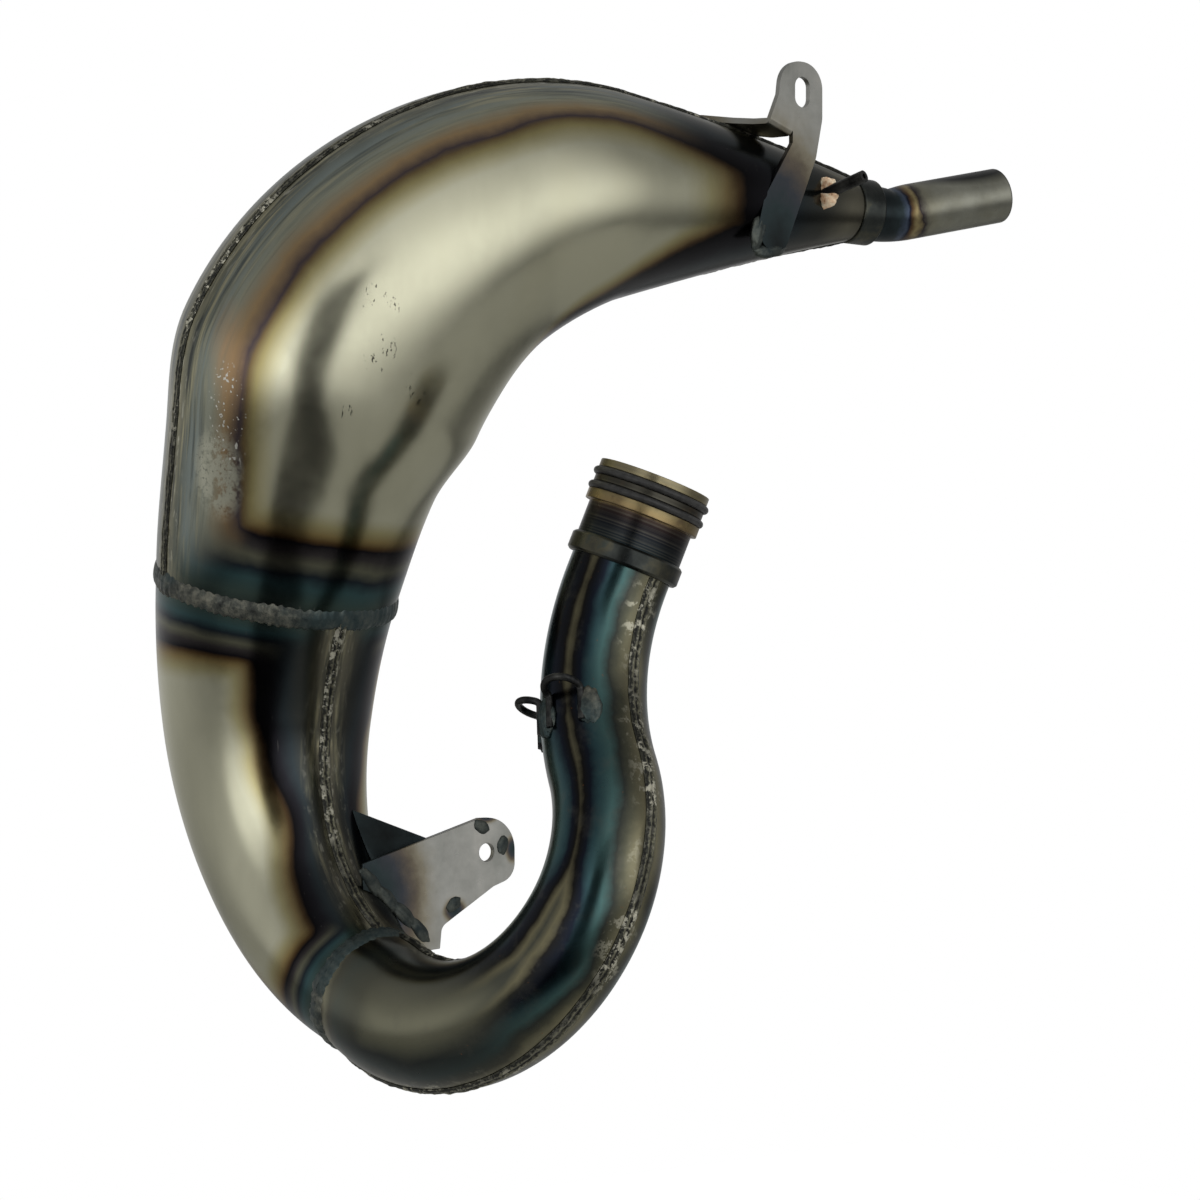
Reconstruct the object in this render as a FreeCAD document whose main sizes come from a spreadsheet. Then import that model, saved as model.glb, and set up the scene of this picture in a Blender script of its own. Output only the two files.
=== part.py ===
"""Expansion chamber of a two-stroke single, in millimetres.

The origin is the centre of the spigot's mouth, where the pipe enters the exhaust port. +X points
to the rear of the motorcycle, +Y outboard and +Z up. The duct is one chain of tangent bends:
spigot, header, cone, belly with its rear cone, and stinger. Header, cone and belly are stampings
of two half shells each, welded along two seams and joined to each other by ring welds.
"""
import FreeCAD, Part
import os
from math import asin, ceil, cos, degrees, pi, radians, sin

import Sketcher
from FreeCAD import Placement, Rotation, Vector

X_AXIS = Vector(1, 0, 0)
Y_AXIS = Vector(0, 1, 0)
Z_AXIS = Vector(0, 0, 1)

# Every size of the part, written once: alias, value and meaning
SIZES = [
    # Direction of the exhaust port
    ("port_lean_back", 18.5, "lean of the spigot towards the rear, degrees"),
    ("port_lean_in", 10.5, "lean of the spigot towards the engine side, degrees"),
    ("sheet_wall", 1.2, "thickness of the stamped sheet"),
    # Spigot, from its mouth inwards
    ("spigot_length", 37.0, "turned length"),
    ("spigot_bore", 41.0, "inner diameter"),
    ("rim_length", 3.5, "rim before the outer groove"),
    ("rim_size", 50.4, "outer diameter of the rim and of the land between the grooves"),
    ("groove_width", 3.6, "width of each O-ring groove"),
    ("groove_size", 46.8, "diameter at the bottom of the grooves"),
    ("middle_land", 3.0, "land between the grooves"),
    ("lower_land", 4.5, "land behind the inner groove"),
    ("lower_land_size", 51.7, "diameter of that land"),
    ("sleeve_size", 47.3, "diameter of the plain sleeve"),
    ("cord_size", 3.4, "cord of the O-rings"),
    # Collar over the joint between spigot and header
    ("collar_start", 33.0, "distance of the collar from the mouth"),
    ("collar_length", 8.8, "length of the collar"),
    ("collar_size", 51.0, "outer diameter of the collar"),
    ("collar_bevel", 1.1, "bevel on both rims"),
    # Header: lengths, bends and outer widths at the ends of the runs
    ("header_clock", -8.5, "turn of the header's seam plane about the spigot, degrees"),
    ("header_run_1", 10.0, "straight under the collar"),
    ("header_run_2", 90.5, "bend away from the cone"),
    ("header_run_3", 67.5, "bend back"),
    ("header_run_4", 128.0, "bottom bend"),
    ("header_run_5", 18.0, "straight to the cone"),
    ("header_bend_1", 0.0, "degrees"),
    ("header_bend_2", -47.0, "degrees"),
    ("header_bend_3", 55.5, "degrees"),
    ("header_bend_4", 88.5, "degrees"),
    ("header_bend_5", 0.0, "degrees"),
    ("header_width_0", 45.0, "at the spigot"),
    ("header_width_1", 45.0, "below the collar"),
    ("header_width_2", 47.5, "at the spring hooks"),
    ("header_width_3", 50.0, "before the bottom bend"),
    ("header_width_4", 59.0, "after the bottom bend"),
    ("header_width_5", 57.5, "at the lower joint"),
    # Cone
    ("cone_clock", -18.0, "turn of the cone's seam plane at the lower joint, degrees"),
    ("cone_run_1", 77.0, "lower third"),
    ("cone_run_2", 77.0, "middle third"),
    ("cone_run_3", 63.0, "upper third"),
    ("cone_bend_1", 37.0, "degrees"),
    ("cone_bend_2", 33.0, "degrees"),
    ("cone_bend_3", 16.5, "degrees"),
    ("cone_width_0", 57.5, "at the lower joint"),
    ("cone_width_1", 76.5, "at a third"),
    ("cone_width_2", 97.0, "at two thirds"),
    ("cone_width_3", 112.0, "at the belly joint"),
    # Belly and rear cone
    ("belly_clock", 79.5, "turn of the belly's seam plane at the belly joint, degrees"),
    ("belly_run_1", 59.0, "swelling above the joint"),
    ("belly_run_2", 44.5, "to the fullest section"),
    ("belly_run_3", 105.0, "over the top"),
    ("belly_run_4", 61.0, "to the rear cone"),
    ("belly_run_5", 142.0, "rear cone"),
    ("belly_bend_1", 6.5, "degrees"),
    ("belly_bend_2", 10.5, "degrees"),
    ("belly_bend_3", 45.5, "degrees"),
    ("belly_bend_4", 21.5, "degrees"),
    ("belly_bend_5", 6.0, "degrees"),
    ("belly_width_0", 112.0, "at the belly joint"),
    ("belly_width_1", 130.0, "above the joint"),
    ("belly_width_2", 152.0, "at the fullest section"),
    ("belly_width_3", 125.0, "over the top"),
    ("belly_width_4", 100.0, "where the rear cone starts"),
    ("belly_width_5", 28.0, "at the stinger"),
    ("belly_flatness", 0.86, "thickness over width at the fullest section"),
    # Welds
    ("weld_gap", 0.08, "clearance of the seam beads over the sheet"),
    ("seam_proud", 1.6, "height of the seam beads above the sheet"),
    ("seam_half_width", 2.2, "half the width of the seam beads"),
    ("joint_bead", 3.0, "radius of the ring welds"),
    ("joint_sink", 1.2, "depth of the ring welds' centre under the surface"),
    # Stinger and its ring
    ("ring_front", 5.0, "length of the ring over the rear cone"),
    ("ring_back", 8.0, "length of the ring over the stinger"),
    ("ring_size", 32.4, "outer diameter of the ring"),
    ("ring_bevel", 1.2, "bevel on the ring"),
    ("stinger_clock", -20.0, "turn of the stinger's bend about the axis, degrees"),
    ("stinger_run_1", 8.0, "straight in the ring"),
    ("stinger_run_2", 22.0, "bend"),
    ("stinger_run_3", 57.0, "straight tail"),
    ("stinger_bend_1", 0.0, "degrees"),
    ("stinger_bend_2", -14.5, "degrees"),
    ("stinger_size", 27.5, "outer diameter"),
    ("stinger_wall", 1.5, "wall"),
    ("stinger_crease", 1.4, "depth of the crease inside the bend"),
    # Rear bracket: slotted ear, long leg, and front leg folded back onto the pipe
    ("rear_slot_x", 134.5, "slot centre, rearward of the origin"),
    ("rear_slot_z", 189.7, "slot centre, above the origin"),
    ("rear_back_y", 61.5, "outboard face of the ear"),
    ("rear_sheet", 3.0, "thickness of the bracket"),
    ("rear_ear_radius", 12.5, "half the width of the ear"),
    ("rear_ear_top", 14.5, "top of the ear above the slot's centre"),
    ("rear_slot_width", 9.2, "width of the slot"),
    ("rear_slot_length", 14.6, "length of the slot"),
    ("rear_leg_drop", 76.0, "foot below the slot's centre"),
    ("rear_leg_lean", 17.0, "foot's middle in front of the slot's centre"),
    ("rear_leg_width", 21.0, "width of the leg near its foot"),
    ("rear_notch_x", 6.0, "notch in front of the slot's centre"),
    ("rear_notch_z", 18.6, "notch below the slot's centre"),
    ("rear_fold_turn", 160.0, "direction of the fold line in the ear's plane, degrees"),
    ("rear_fold_length", 14.5, "length of the fold line"),
    ("rear_fold", 90.0, "fold of the front leg, degrees"),
    # Front bracket: two sheets face to face at the ear, straddling the pipe
    ("front_hole_x", -12.0, "hole centre, rearward of the origin"),
    ("front_hole_z", -170.0, "hole centre, above the origin"),
    ("front_back_y", 113.5, "plane where the two sheets meet"),
    ("front_sheet", 1.5, "thickness of each sheet"),
    ("front_hole_size", 8.4, "bolt hole"),
    ("front_ear_radius", 16.0, "radius of the ear about the hole"),
    ("front_foot_reach", 68.0, "length of the sheets in front of the hole"),
    ("front_foot_top", 2.0, "upper corner of the foot below the hole"),
    ("front_foot_low", 46.0, "lower corner of the foot below the hole"),
    ("front_heel_x", 25.0, "heel in front of the hole"),
    ("front_heel_z", 33.0, "heel below the hole"),
    ("front_fold_x", 32.0, "fold of the outboard sheet in front of the hole"),
    ("front_fold", 37.0, "fold of the outboard sheet, degrees"),
    ("front_leg_reach", 34.0, "length of the folded leg"),
    # Spring hooks
    ("hook_distance", 71.0, "distance of the hooks below the spigot"),
    ("hook_near_turn", 260.0, "place of the near hook about the header, degrees"),
    ("hook_far_turn", 318.0, "place of the far hook about the header, degrees"),
    ("hook_rod", 3.2, "rod diameter"),
    ("hook_half_span", 8.0, "half the distance between the legs"),
    ("hook_leg", 13.0, "length of the legs"),
    ("hook_elbow", 2.6, "bend radius between leg and arch"),
    ("hook_lean", 18.0, "lean of the arch towards the spigot, degrees"),
    ("hook_sink", 0.4, "depth of the legs in the header's sheet"),
    ("puddle_length", 15.0, "length of the weld puddles"),
    ("puddle_width", 8.0, "width of the weld puddles"),
    ("puddle_thick", 2.6, "half the thickness of the weld puddles"),
    # Pressure tap
    ("tap_back", 41.0, "distance of the tap in front of the ring's plane"),
    ("tap_turn", 236.0, "place of the tap about the rear cone, degrees"),
    ("tap_lean", 20.0, "lean of the tap towards the rear, degrees"),
    ("tap_size", 6.0, "outer diameter"),
    ("tap_bore", 2.6, "bore"),
    ("tap_offset", 4.5, "distance of the tap's axis below the pipe's axis"),
    ("tap_length", 47.0, "from the pipe's axis to the tip"),
]

doc = FreeCAD.newDocument("expansion_chamber")
sheet = doc.addObject("Spreadsheet::Sheet", "sizes")
sheet.Label = "sizes"
for row, (alias, size, meaning) in enumerate(SIZES, start=1):
    sheet.set(f"A{row}", meaning)
    sheet.set(f"B{row}", str(size))
    sheet.setAlias(f"B{row}", alias)
doc.recompute()

HEADER_RUNS = 5
CONE_RUNS = 3
BELLY_RUNS = 5
# Share of the belly's flatness at the end of each run
BELLY_FLAT = (0.0, 0.5, 1.0, 0.5, 0.0, 0.0)
ROUND = (0.0,) * 6
# A run gets one station for each of these
STATION_DEGREES = 9.0
STATION_LENGTH = 20.0
STINGER_STATION = 6.0


def value(text):
    """The number that a formula of the sheet's aliases gives."""
    return float(sheet.evalExpression(text))


def bind(thing, **formulas):
    """Binds each named property of a document object to a formula."""
    for name, text in formulas.items():
        thing.setExpression(name, text)
    return thing


def add(kind, name, label=None, **formulas):
    """A document object of this kind, with its sizes bound to formulas."""
    thing = doc.addObject(kind, name)
    thing.Label = label or name
    return bind(thing, **formulas)


def turn(axis, angle):
    """A rotation about a local axis through the local origin."""
    return Placement(Vector(), Rotation(axis, angle))


def shift(x=0.0, y=0.0, z=0.0):
    """A move along the local axes."""
    return Placement(Vector(x, y, z), Rotation())


def travel(place, length, bend):
    """The placement at the end of an arc from place: local z runs along the duct, x towards the bend."""
    if abs(bend) < 0.01:
        return place * shift(z=length)
    radius = length / radians(bend)
    angle = radians(bend)
    move = Vector(radius * (1 - cos(angle)), 0, radius * sin(angle))
    return place * Placement(move, Rotation(Y_AXIS, bend))


# Sizes between the run ends

def slope_text(part, runs, end):
    """Formula of the change of width per millimetre at the end of a run."""
    before, after = max(end - 1, 0), min(end + 1, runs)
    lengths = " + ".join(f"sizes.{part}_run_{k}" for k in range(before + 1, after + 1))
    return f"(sizes.{part}_width_{after} - sizes.{part}_width_{before}) / ({lengths})"


def width_text(part, runs, run, share):
    """Formula of the outer width at a share of a run: one smooth curve through the run ends."""
    rise = share * share * (3 - 2 * share)
    leave = share * (1 - share) ** 2
    arrive = share * share * (share - 1)
    length = f"sizes.{part}_run_{run}"
    return (
        f"{1 - rise:.5f} * sizes.{part}_width_{run - 1} + {rise:.5f} * sizes.{part}_width_{run}"
        f" + {leave:.5f} * {length} * {slope_text(part, runs, run - 1)}"
        f" + {arrive:.5f} * {length} * {slope_text(part, runs, run)}"
    )


def stations(part, runs, place, flat=ROUND):
    """Placements along a part of the duct, each with its width formula and share of flatness."""
    found = [(place, width_text(part, runs, 1, 0.0), flat[0])]
    for run in range(1, runs + 1):
        length, bend = value(f"sizes.{part}_run_{run}"), value(f"sizes.{part}_bend_{run}")
        steps = max(1, ceil(abs(bend) / STATION_DEGREES), ceil(length / STATION_LENGTH))
        for step in range(1, steps + 1):
            share = step / steps
            rise = share * share * (3 - 2 * share)
            flatness = flat[run - 1] + (flat[run] - flat[run - 1]) * rise
            at = travel(place, length * share, bend * share)
            found.append((at, width_text(part, runs, run, share), flatness))
        place = at
    return found


# Lofted ducts

def ellipse(name, place, wide, thick):
    """A section across the duct, wide along its local x."""
    section = add("Part::Ellipse", name, MajorRadius=wide, MinorRadius=thick)
    section.Placement = place
    return section


def shell_section(name, place, wide, thick, side):
    """Section of the half shell on the local +y side, or the -y side: a bent band of sheet."""
    wall = value("sizes.sheet_wall")
    start, end = (0, pi) if side > 0 else (pi, 2 * pi)
    edges = []
    for inset in (0, wall):
        curve = Part.Ellipse(Vector(), wide - inset, thick - inset)
        edges.append(Part.ArcOfEllipse(curve, start, end).toShape())
    for rim in (Vector(wide, 0, 0), Vector(-wide, 0, 0)):
        edges.append(Part.LineSegment(rim, rim * (1 - wall / wide)).toShape())
    section = doc.addObject("Part::Feature", name)
    section.Label = name
    section.Shape = Part.Wire(Part.__sortEdges__(edges))
    section.Placement = place
    return section


def loft(name, sections):
    """A smooth solid through sections."""
    body = add("Part::Loft", name)
    body.Sections = sections
    body.Solid = True
    body.Ruled = False
    return body


def half_sizes(width, flatness):
    """Formulas of half the width and half the thickness of a section of the duct."""
    return f"({width}) / 2", f"({width}) / 2 * (1 - {flatness:.5f} * (1 - sizes.belly_flatness))"


def stamping(part, places, names):
    """The two half shells of a length of duct. Returns its outer solid, which other pieces seat on."""
    sections = []
    for index, (place, width, flatness) in enumerate(places):
        sections.append(ellipse(f"{part}_section_{index}", place, *half_sizes(width, flatness)))
    for side, node in zip((1, -1), names):
        shell = []
        for index, (place, width, flatness) in enumerate(places):
            wide, thick = (value(size) for size in half_sizes(width, flatness))
            shell.append(shell_section(f"{node}_section_{index}", place, wide, thick, side))
        loft(node, shell)
    return loft(f"{part}_solid", sections)


def cut(name, base, tool, label=None):
    """Base without tool."""
    result = add("Part::Cut", name, label)
    result.Base = base
    result.Tool = tool
    return result


def fuse(name, shapes, label=None):
    """Several solids joined in one."""
    result = add("Part::MultiFuse", name, label)
    result.Shapes = shapes
    return result


def station(part, runs, place, gap, first):
    """The station a gap away from the start or from the end of a part of the duct."""
    if first:
        length, bend = value(f"sizes.{part}_run_1"), value(f"sizes.{part}_bend_1")
        return travel(place, gap, bend * gap / length), width_text(part, runs, 1, gap / length), 0.0
    length, bend = value(f"sizes.{part}_run_{runs}"), value(f"sizes.{part}_bend_{runs}")
    share = 1 - gap / length
    return travel(place, -gap, -bend * gap / length), width_text(part, runs, runs, share), 0.0


def bead_section(name, place, wide, thick, side):
    """Section of a seam bead: a lens between the sheet's surface and the bead's rounded top."""
    gap, proud = value("sizes.weld_gap"), value("sizes.seam_proud")
    reach = asin(value("sizes.seam_half_width") / thick)
    middle = 0 if side > 0 else pi
    base = Part.ArcOfEllipse(Part.Ellipse(Vector(), wide + gap, thick + gap), middle - reach, middle + reach)
    top = Part.Arc(base.StartPoint, Vector(side * (wide + proud), 0, 0), base.EndPoint)
    section = doc.addObject("Part::Feature", name)
    section.Label = name
    section.Shape = Part.Wire([base.toShape(), top.toShape()])
    section.Placement = place
    return section


def seam_bead(name, places, side):
    """Weld bead along one seam: side is 1 inside the bend and -1 outside it."""
    beads = []
    for index, (place, width, flatness) in enumerate(places):
        wide, thick = (value(size) for size in half_sizes(width, flatness))
        beads.append(bead_section(f"{name}_section_{index}", place, wide, thick, side))
    return loft(name, beads)


def joint_bead(name, place, part, end, trims):
    """Ring weld round the duct at the end of a run."""
    ring = add(
        "Part::Torus", f"{name}_ring",
        Radius1=f"sizes.{part}_width_{end} / 2 - sizes.joint_sink",
        Radius2="sizes.joint_bead",
    )
    ring.Placement = place
    return cut(name, ring, trims)


# Sketched pieces

def body_at(name, place, label=None):
    """A PartDesign body with this placement."""
    body = add("PartDesign::Body", name, label)
    body.Placement = place
    return body


def plane_of(body, role):
    """One of the body's own origin planes."""
    return next(part for part in body.Origin.OriginFeatures if part.Role == role)


def sketch_on(body, name, role):
    """An empty sketch on one of the body's origin planes."""
    sketch = body.newObject("Sketcher::SketchObject", name)
    sketch.AttachmentSupport = [(plane_of(body, role), "")]
    sketch.MapMode = "FlatFace"
    return sketch


def place_point(sketch, geometry, point, across, up):
    """Holds a point of the sketch at two formulas, measured from the sketch's origin."""
    for kind, axis, text in (("DistanceX", -2, across), ("DistanceY", -1, up)):
        size = value(text)
        if abs(size) < 1e-9:
            sketch.addConstraint(Sketcher.Constraint("PointOnObject", geometry, point, axis))
        else:
            number = sketch.addConstraint(Sketcher.Constraint(kind, -1, 1, geometry, point, size))
            sketch.setExpression(f"Constraints[{number}]", text)


def draw_outline(sketch, corners):
    """A closed outline of straight edges through corners, each a pair of formulas."""
    points = [Vector(value(across), value(up), 0) for across, up in corners]
    count = len(points)
    for index in range(count):
        sketch.addGeometry(Part.LineSegment(points[index], points[(index + 1) % count]), False)
    for index in range(count):
        sketch.addConstraint(Sketcher.Constraint("Coincident", index, 2, (index + 1) % count, 1))
    for index, (across, up) in enumerate(corners):
        place_point(sketch, index, 1, across, up)


def draw_circle(sketch, across, up, radius):
    """A circle whose centre and radius are formulas."""
    centre = Vector(value(across), value(up), 0)
    circle = sketch.addGeometry(Part.Circle(centre, Z_AXIS, value(radius)), False)
    place_point(sketch, circle, 3, across, up)
    number = sketch.addConstraint(Sketcher.Constraint("Radius", circle, value(radius)))
    sketch.setExpression(f"Constraints[{number}]", radius)


def revolved(name, place, profile, label=None):
    """A turned ring: profile holds pairs of radius and distance along the local z axis."""
    body = body_at(name, place, label)
    sketch = sketch_on(body, f"{name}_profile", "XZ_Plane")
    draw_outline(sketch, profile)
    feature = body.newObject("PartDesign::Revolution", f"{name}_revolution")
    feature.Profile = sketch
    feature.ReferenceAxis = (sketch, ["V_Axis"])
    feature.Angle = 360
    doc.recompute()
    return body


def sheet_piece(name, place, corners, thickness, holes=(), rounds=(), label=None):
    """A flat piece of sheet on the local XY plane, padded along local z, with rounded corners."""
    body = body_at(name, place, label)
    sketch = sketch_on(body, f"{name}_outline", "XY_Plane")
    draw_outline(sketch, corners)
    for across, up, radius in holes:
        draw_circle(sketch, across, up, radius)
    pad = body.newObject("PartDesign::Pad", f"{name}_pad")
    pad.Profile = sketch
    pad.setExpression("Length", thickness)
    doc.recompute()
    feature = pad
    for number, (picked, radius) in enumerate(rounds):
        feature = round_corners(body, feature, [corners[index] for index in picked], radius, number)
    return body


def round_corners(body, feature, corners, radius, number):
    """Rounds the upright edges of the sheet at the given corners."""
    wanted = [Vector(value(across), value(up), 0) for across, up in corners]
    names = []
    for index, edge in enumerate(feature.Shape.Edges, start=1):
        ends = [vertex.Point for vertex in edge.Vertexes]
        if len(ends) != 2 or (ends[0] - ends[1]).cross(Z_AXIS).Length > 1e-6:
            continue
        if any(Vector(ends[0].x - spot.x, ends[0].y - spot.y, 0).Length < 1e-4 for spot in wanted):
            names.append(f"Edge{index}")
    fillet = body.newObject("PartDesign::Fillet", f"{body.Name}_round_{number}")
    fillet.Base = (feature, names)
    fillet.setExpression("Radius", radius)
    doc.recompute()
    return fillet


# The chain of placements along the duct

lean_back = value("sizes.port_lean_back")
lean_in = value("sizes.port_lean_in")
# Local z points into the pipe, and local x outboard before the header's clock turns it
mouth = turn(Y_AXIS, lean_back) * turn(X_AXIS, 180 + lean_in)
mouth = mouth * turn(Z_AXIS, value("sizes.header_clock") - 90)

header_start = mouth * shift(z=value("sizes.spigot_length"))
header_places = stations("header", HEADER_RUNS, header_start)
cone_start = header_places[-1][0] * turn(Z_AXIS, value("sizes.cone_clock"))
cone_places = stations("cone", CONE_RUNS, cone_start)
belly_start = cone_places[-1][0] * turn(Z_AXIS, value("sizes.belly_clock"))
belly_places = stations("belly", BELLY_RUNS, belly_start, BELLY_FLAT)
belly_end = belly_places[-1][0]
stinger_start = belly_end * turn(Z_AXIS, value("sizes.stinger_clock"))

header_solid = stamping("header", header_places, ("header_rear_half", "header_front_half"))
cone_solid = stamping("cone", cone_places, ("cone_rear_half", "cone_front_half"))
belly_solid = stamping("belly", belly_places, ("belly_outboard_half", "belly_inboard_blank"))
duct_solid = fuse("duct_solid", [header_solid, cone_solid, belly_solid])
doc.recompute()


# Spigot, O-rings and collar

def groove_start(number):
    """Formula of the distance from the mouth to the first or second groove."""
    return "sizes.rim_length" + " + sizes.groove_width + sizes.middle_land" * number


def make_spigot():
    """The turned spigot with its rim, two grooves, land and sleeve."""
    bore, rim = "sizes.spigot_bore / 2", "sizes.rim_size / 2"
    groove, land = "sizes.groove_size / 2", "sizes.lower_land_size / 2"
    sleeve = "sizes.sleeve_size / 2"
    first, second = groove_start(0), groove_start(1)
    land_start = f"{second} + sizes.groove_width"
    land_end = f"{land_start} + sizes.lower_land"
    profile = [
        (bore, "0"), (rim, "0"), (rim, first), (groove, first),
        (groove, f"{first} + sizes.groove_width"), (rim, f"{first} + sizes.groove_width"),
        (rim, second), (groove, second), (groove, land_start), (land, land_start),
        (land, land_end), (sleeve, land_end), (sleeve, "sizes.spigot_length"),
        (bore, "sizes.spigot_length"),
    ]
    return revolved("spigot", mouth, profile)


def make_o_ring(name, number):
    """An O-ring lying on the bottom of its groove."""
    ring = add(
        "Part::Torus", name,
        Radius1="sizes.groove_size / 2 + sizes.cord_size / 2",
        Radius2="sizes.cord_size / 2",
    )
    ring.Placement = mouth * shift(z=value(f"{groove_start(number)} + sizes.groove_width / 2"))
    return ring


def make_collar():
    """The band that covers the joint of spigot and header."""
    outer, bevel, length = "sizes.collar_size / 2", "sizes.collar_bevel", "sizes.collar_length"
    step = "sizes.spigot_length - sizes.collar_start"
    sleeve, header = "sizes.sleeve_size / 2", "sizes.header_width_0 / 2 - sizes.sheet_wall"
    profile = [
        (sleeve, "0"), (f"{outer} - {bevel}", "0"), (outer, bevel),
        (outer, f"{length} - {bevel}"), (f"{outer} - {bevel}", length),
        (header, length), (header, step), (sleeve, step),
    ]
    place = mouth * shift(z=value("sizes.collar_start"))
    return cut("spigot_collar", revolved("collar_blank", place, profile), header_solid)


make_spigot()
make_o_ring("o_ring_outer", 0)
make_o_ring("o_ring_inner", 1)
make_collar()


# Stinger and ring

def make_stinger():
    """The tail tube, bent once and creased inside the bend, with its plain round tail."""
    radius, bore = "sizes.stinger_size / 2", "sizes.stinger_size / 2 - sizes.stinger_wall"
    place, outer, inner = stinger_start, [], []
    for run in (1, 2):
        length, bend = value(f"sizes.stinger_run_{run}"), value(f"sizes.stinger_bend_{run}")
        steps = ceil(length / STINGER_STATION)
        for step in range(0 if run == 1 else 1, steps + 1):
            share = step / steps
            crease = f"{sin(radians(180 * share)) if bend else 0:.5f} * sizes.stinger_crease"
            at = travel(place, length * share, bend * share)
            # The section is flattened on its local -x side, where the bend's inside is
            at = at * shift(x=value(f"({crease}) / 2")) * turn(Z_AXIS, 90)
            name = f"{run}_{step}"
            outer.append(ellipse(f"stinger_outer_{name}", at, radius, f"{radius} - ({crease}) / 2"))
            inner.append(ellipse(f"stinger_inner_{name}", at, bore, f"{bore} - ({crease}) / 2"))
        place = travel(place, length, bend)
    tail = {}
    for name, size in (("outer", radius), ("inner", bore)):
        tail[name] = add(
            "Part::Cylinder", f"stinger_tail_{name}", Radius=size, Height="sizes.stinger_run_3",
        )
        tail[name].Placement = place
    solid = fuse("stinger_outer", [loft("stinger_bend_outer", outer), tail["outer"]])
    cut("stinger", solid, fuse("stinger_bore", [loft("stinger_bend_inner", inner), tail["inner"]]))
    return solid


def make_stinger_ring(tube):
    """The stepped ring where the rear cone ends and the stinger starts."""
    outer, bevel = "sizes.ring_size / 2", "sizes.ring_bevel"
    bore = "sizes.stinger_size / 2 - sizes.stinger_wall"
    back = "sizes.ring_front + sizes.ring_back"
    profile = [
        (bore, "0"), (f"{outer} - {bevel} / 2", "0"), (outer, f"{bevel} / 2"),
        (outer, f"{back} - {bevel}"), (f"{outer} - {bevel}", back), (bore, back),
    ]
    place = belly_end * shift(z=-value("sizes.ring_front"))
    blank = revolved("ring_blank", place, profile)
    return cut("stinger_ring", blank, fuse("ring_space", [belly_solid, tube]))


stinger_solid = make_stinger()
make_stinger_ring(stinger_solid)


# Pressure tap on the rear cone

def make_tap():
    """The tap's tube, its braze, and the bore that goes through the sheet."""
    back = value("sizes.tap_back")
    place = belly_end * shift(z=-back) * turn(Z_AXIS, value("sizes.tap_turn"))
    place = place * shift(y=value("sizes.tap_offset")) * turn(Y_AXIS, 90 - value("sizes.tap_lean"))
    tube = add("Part::Cylinder", "tap_tube", Radius="sizes.tap_size / 2", Height="sizes.tap_length")
    bore = add("Part::Cylinder", "tap_drill", Radius="sizes.tap_bore / 2", Height="sizes.tap_length + 1")
    for piece in (tube, bore):
        piece.Placement = place
    cut("pressure_tap", tube, fuse("tap_space", [belly_solid, bore]))
    patch = add(
        "Part::Ellipsoid", "tap_patch",
        Radius1="sizes.tap_size * 0.55", Radius2="sizes.tap_size * 1.15", Radius3="sizes.tap_size * 0.95",
    )
    share = 1 - back / value(f"sizes.belly_run_{BELLY_RUNS}")
    surface = value(width_text("belly", BELLY_RUNS, BELLY_RUNS, share)) / 2
    patch.Placement = place * shift(z=surface)
    cut("tap_braze", patch, fuse("braze_space", [belly_solid, tube]))
    return bore


tap_bore = make_tap()
cut("belly_inboard_half", doc.getObject("belly_inboard_blank"), tap_bore)


# Seams and ring welds

def make_welds():
    """The ring welds at the two joints and the beads along the six seams between them."""
    joint_bead("lower_joint_weld", cone_start, "cone", 0, duct_solid)
    joint_bead("belly_joint_weld", belly_start, "belly", 0, duct_solid)
    ring_gap = value("sizes.joint_bead + sizes.weld_gap")
    collar_gap = value("sizes.collar_start + sizes.collar_length - sizes.spigot_length + sizes.weld_gap")
    tail_gap = value("sizes.ring_front + sizes.weld_gap")
    for part, runs, places, first, last in (
        ("header", HEADER_RUNS, header_places, collar_gap, ring_gap),
        ("cone", CONE_RUNS, cone_places, ring_gap, ring_gap),
        ("belly", BELLY_RUNS, belly_places, ring_gap, tail_gap),
    ):
        start = station(part, runs, places[0][0], first, True)
        end = station(part, runs, places[-1][0], last, False)
        for side, name in ((1, "inner"), (-1, "outer")):
            seam_bead(f"{part}_{name}_seam_weld", [start] + places[1:-1] + [end], side)


make_welds()


# Brackets

UPRIGHT = Placement(Vector(), Rotation(X_AXIS, 90))


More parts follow.
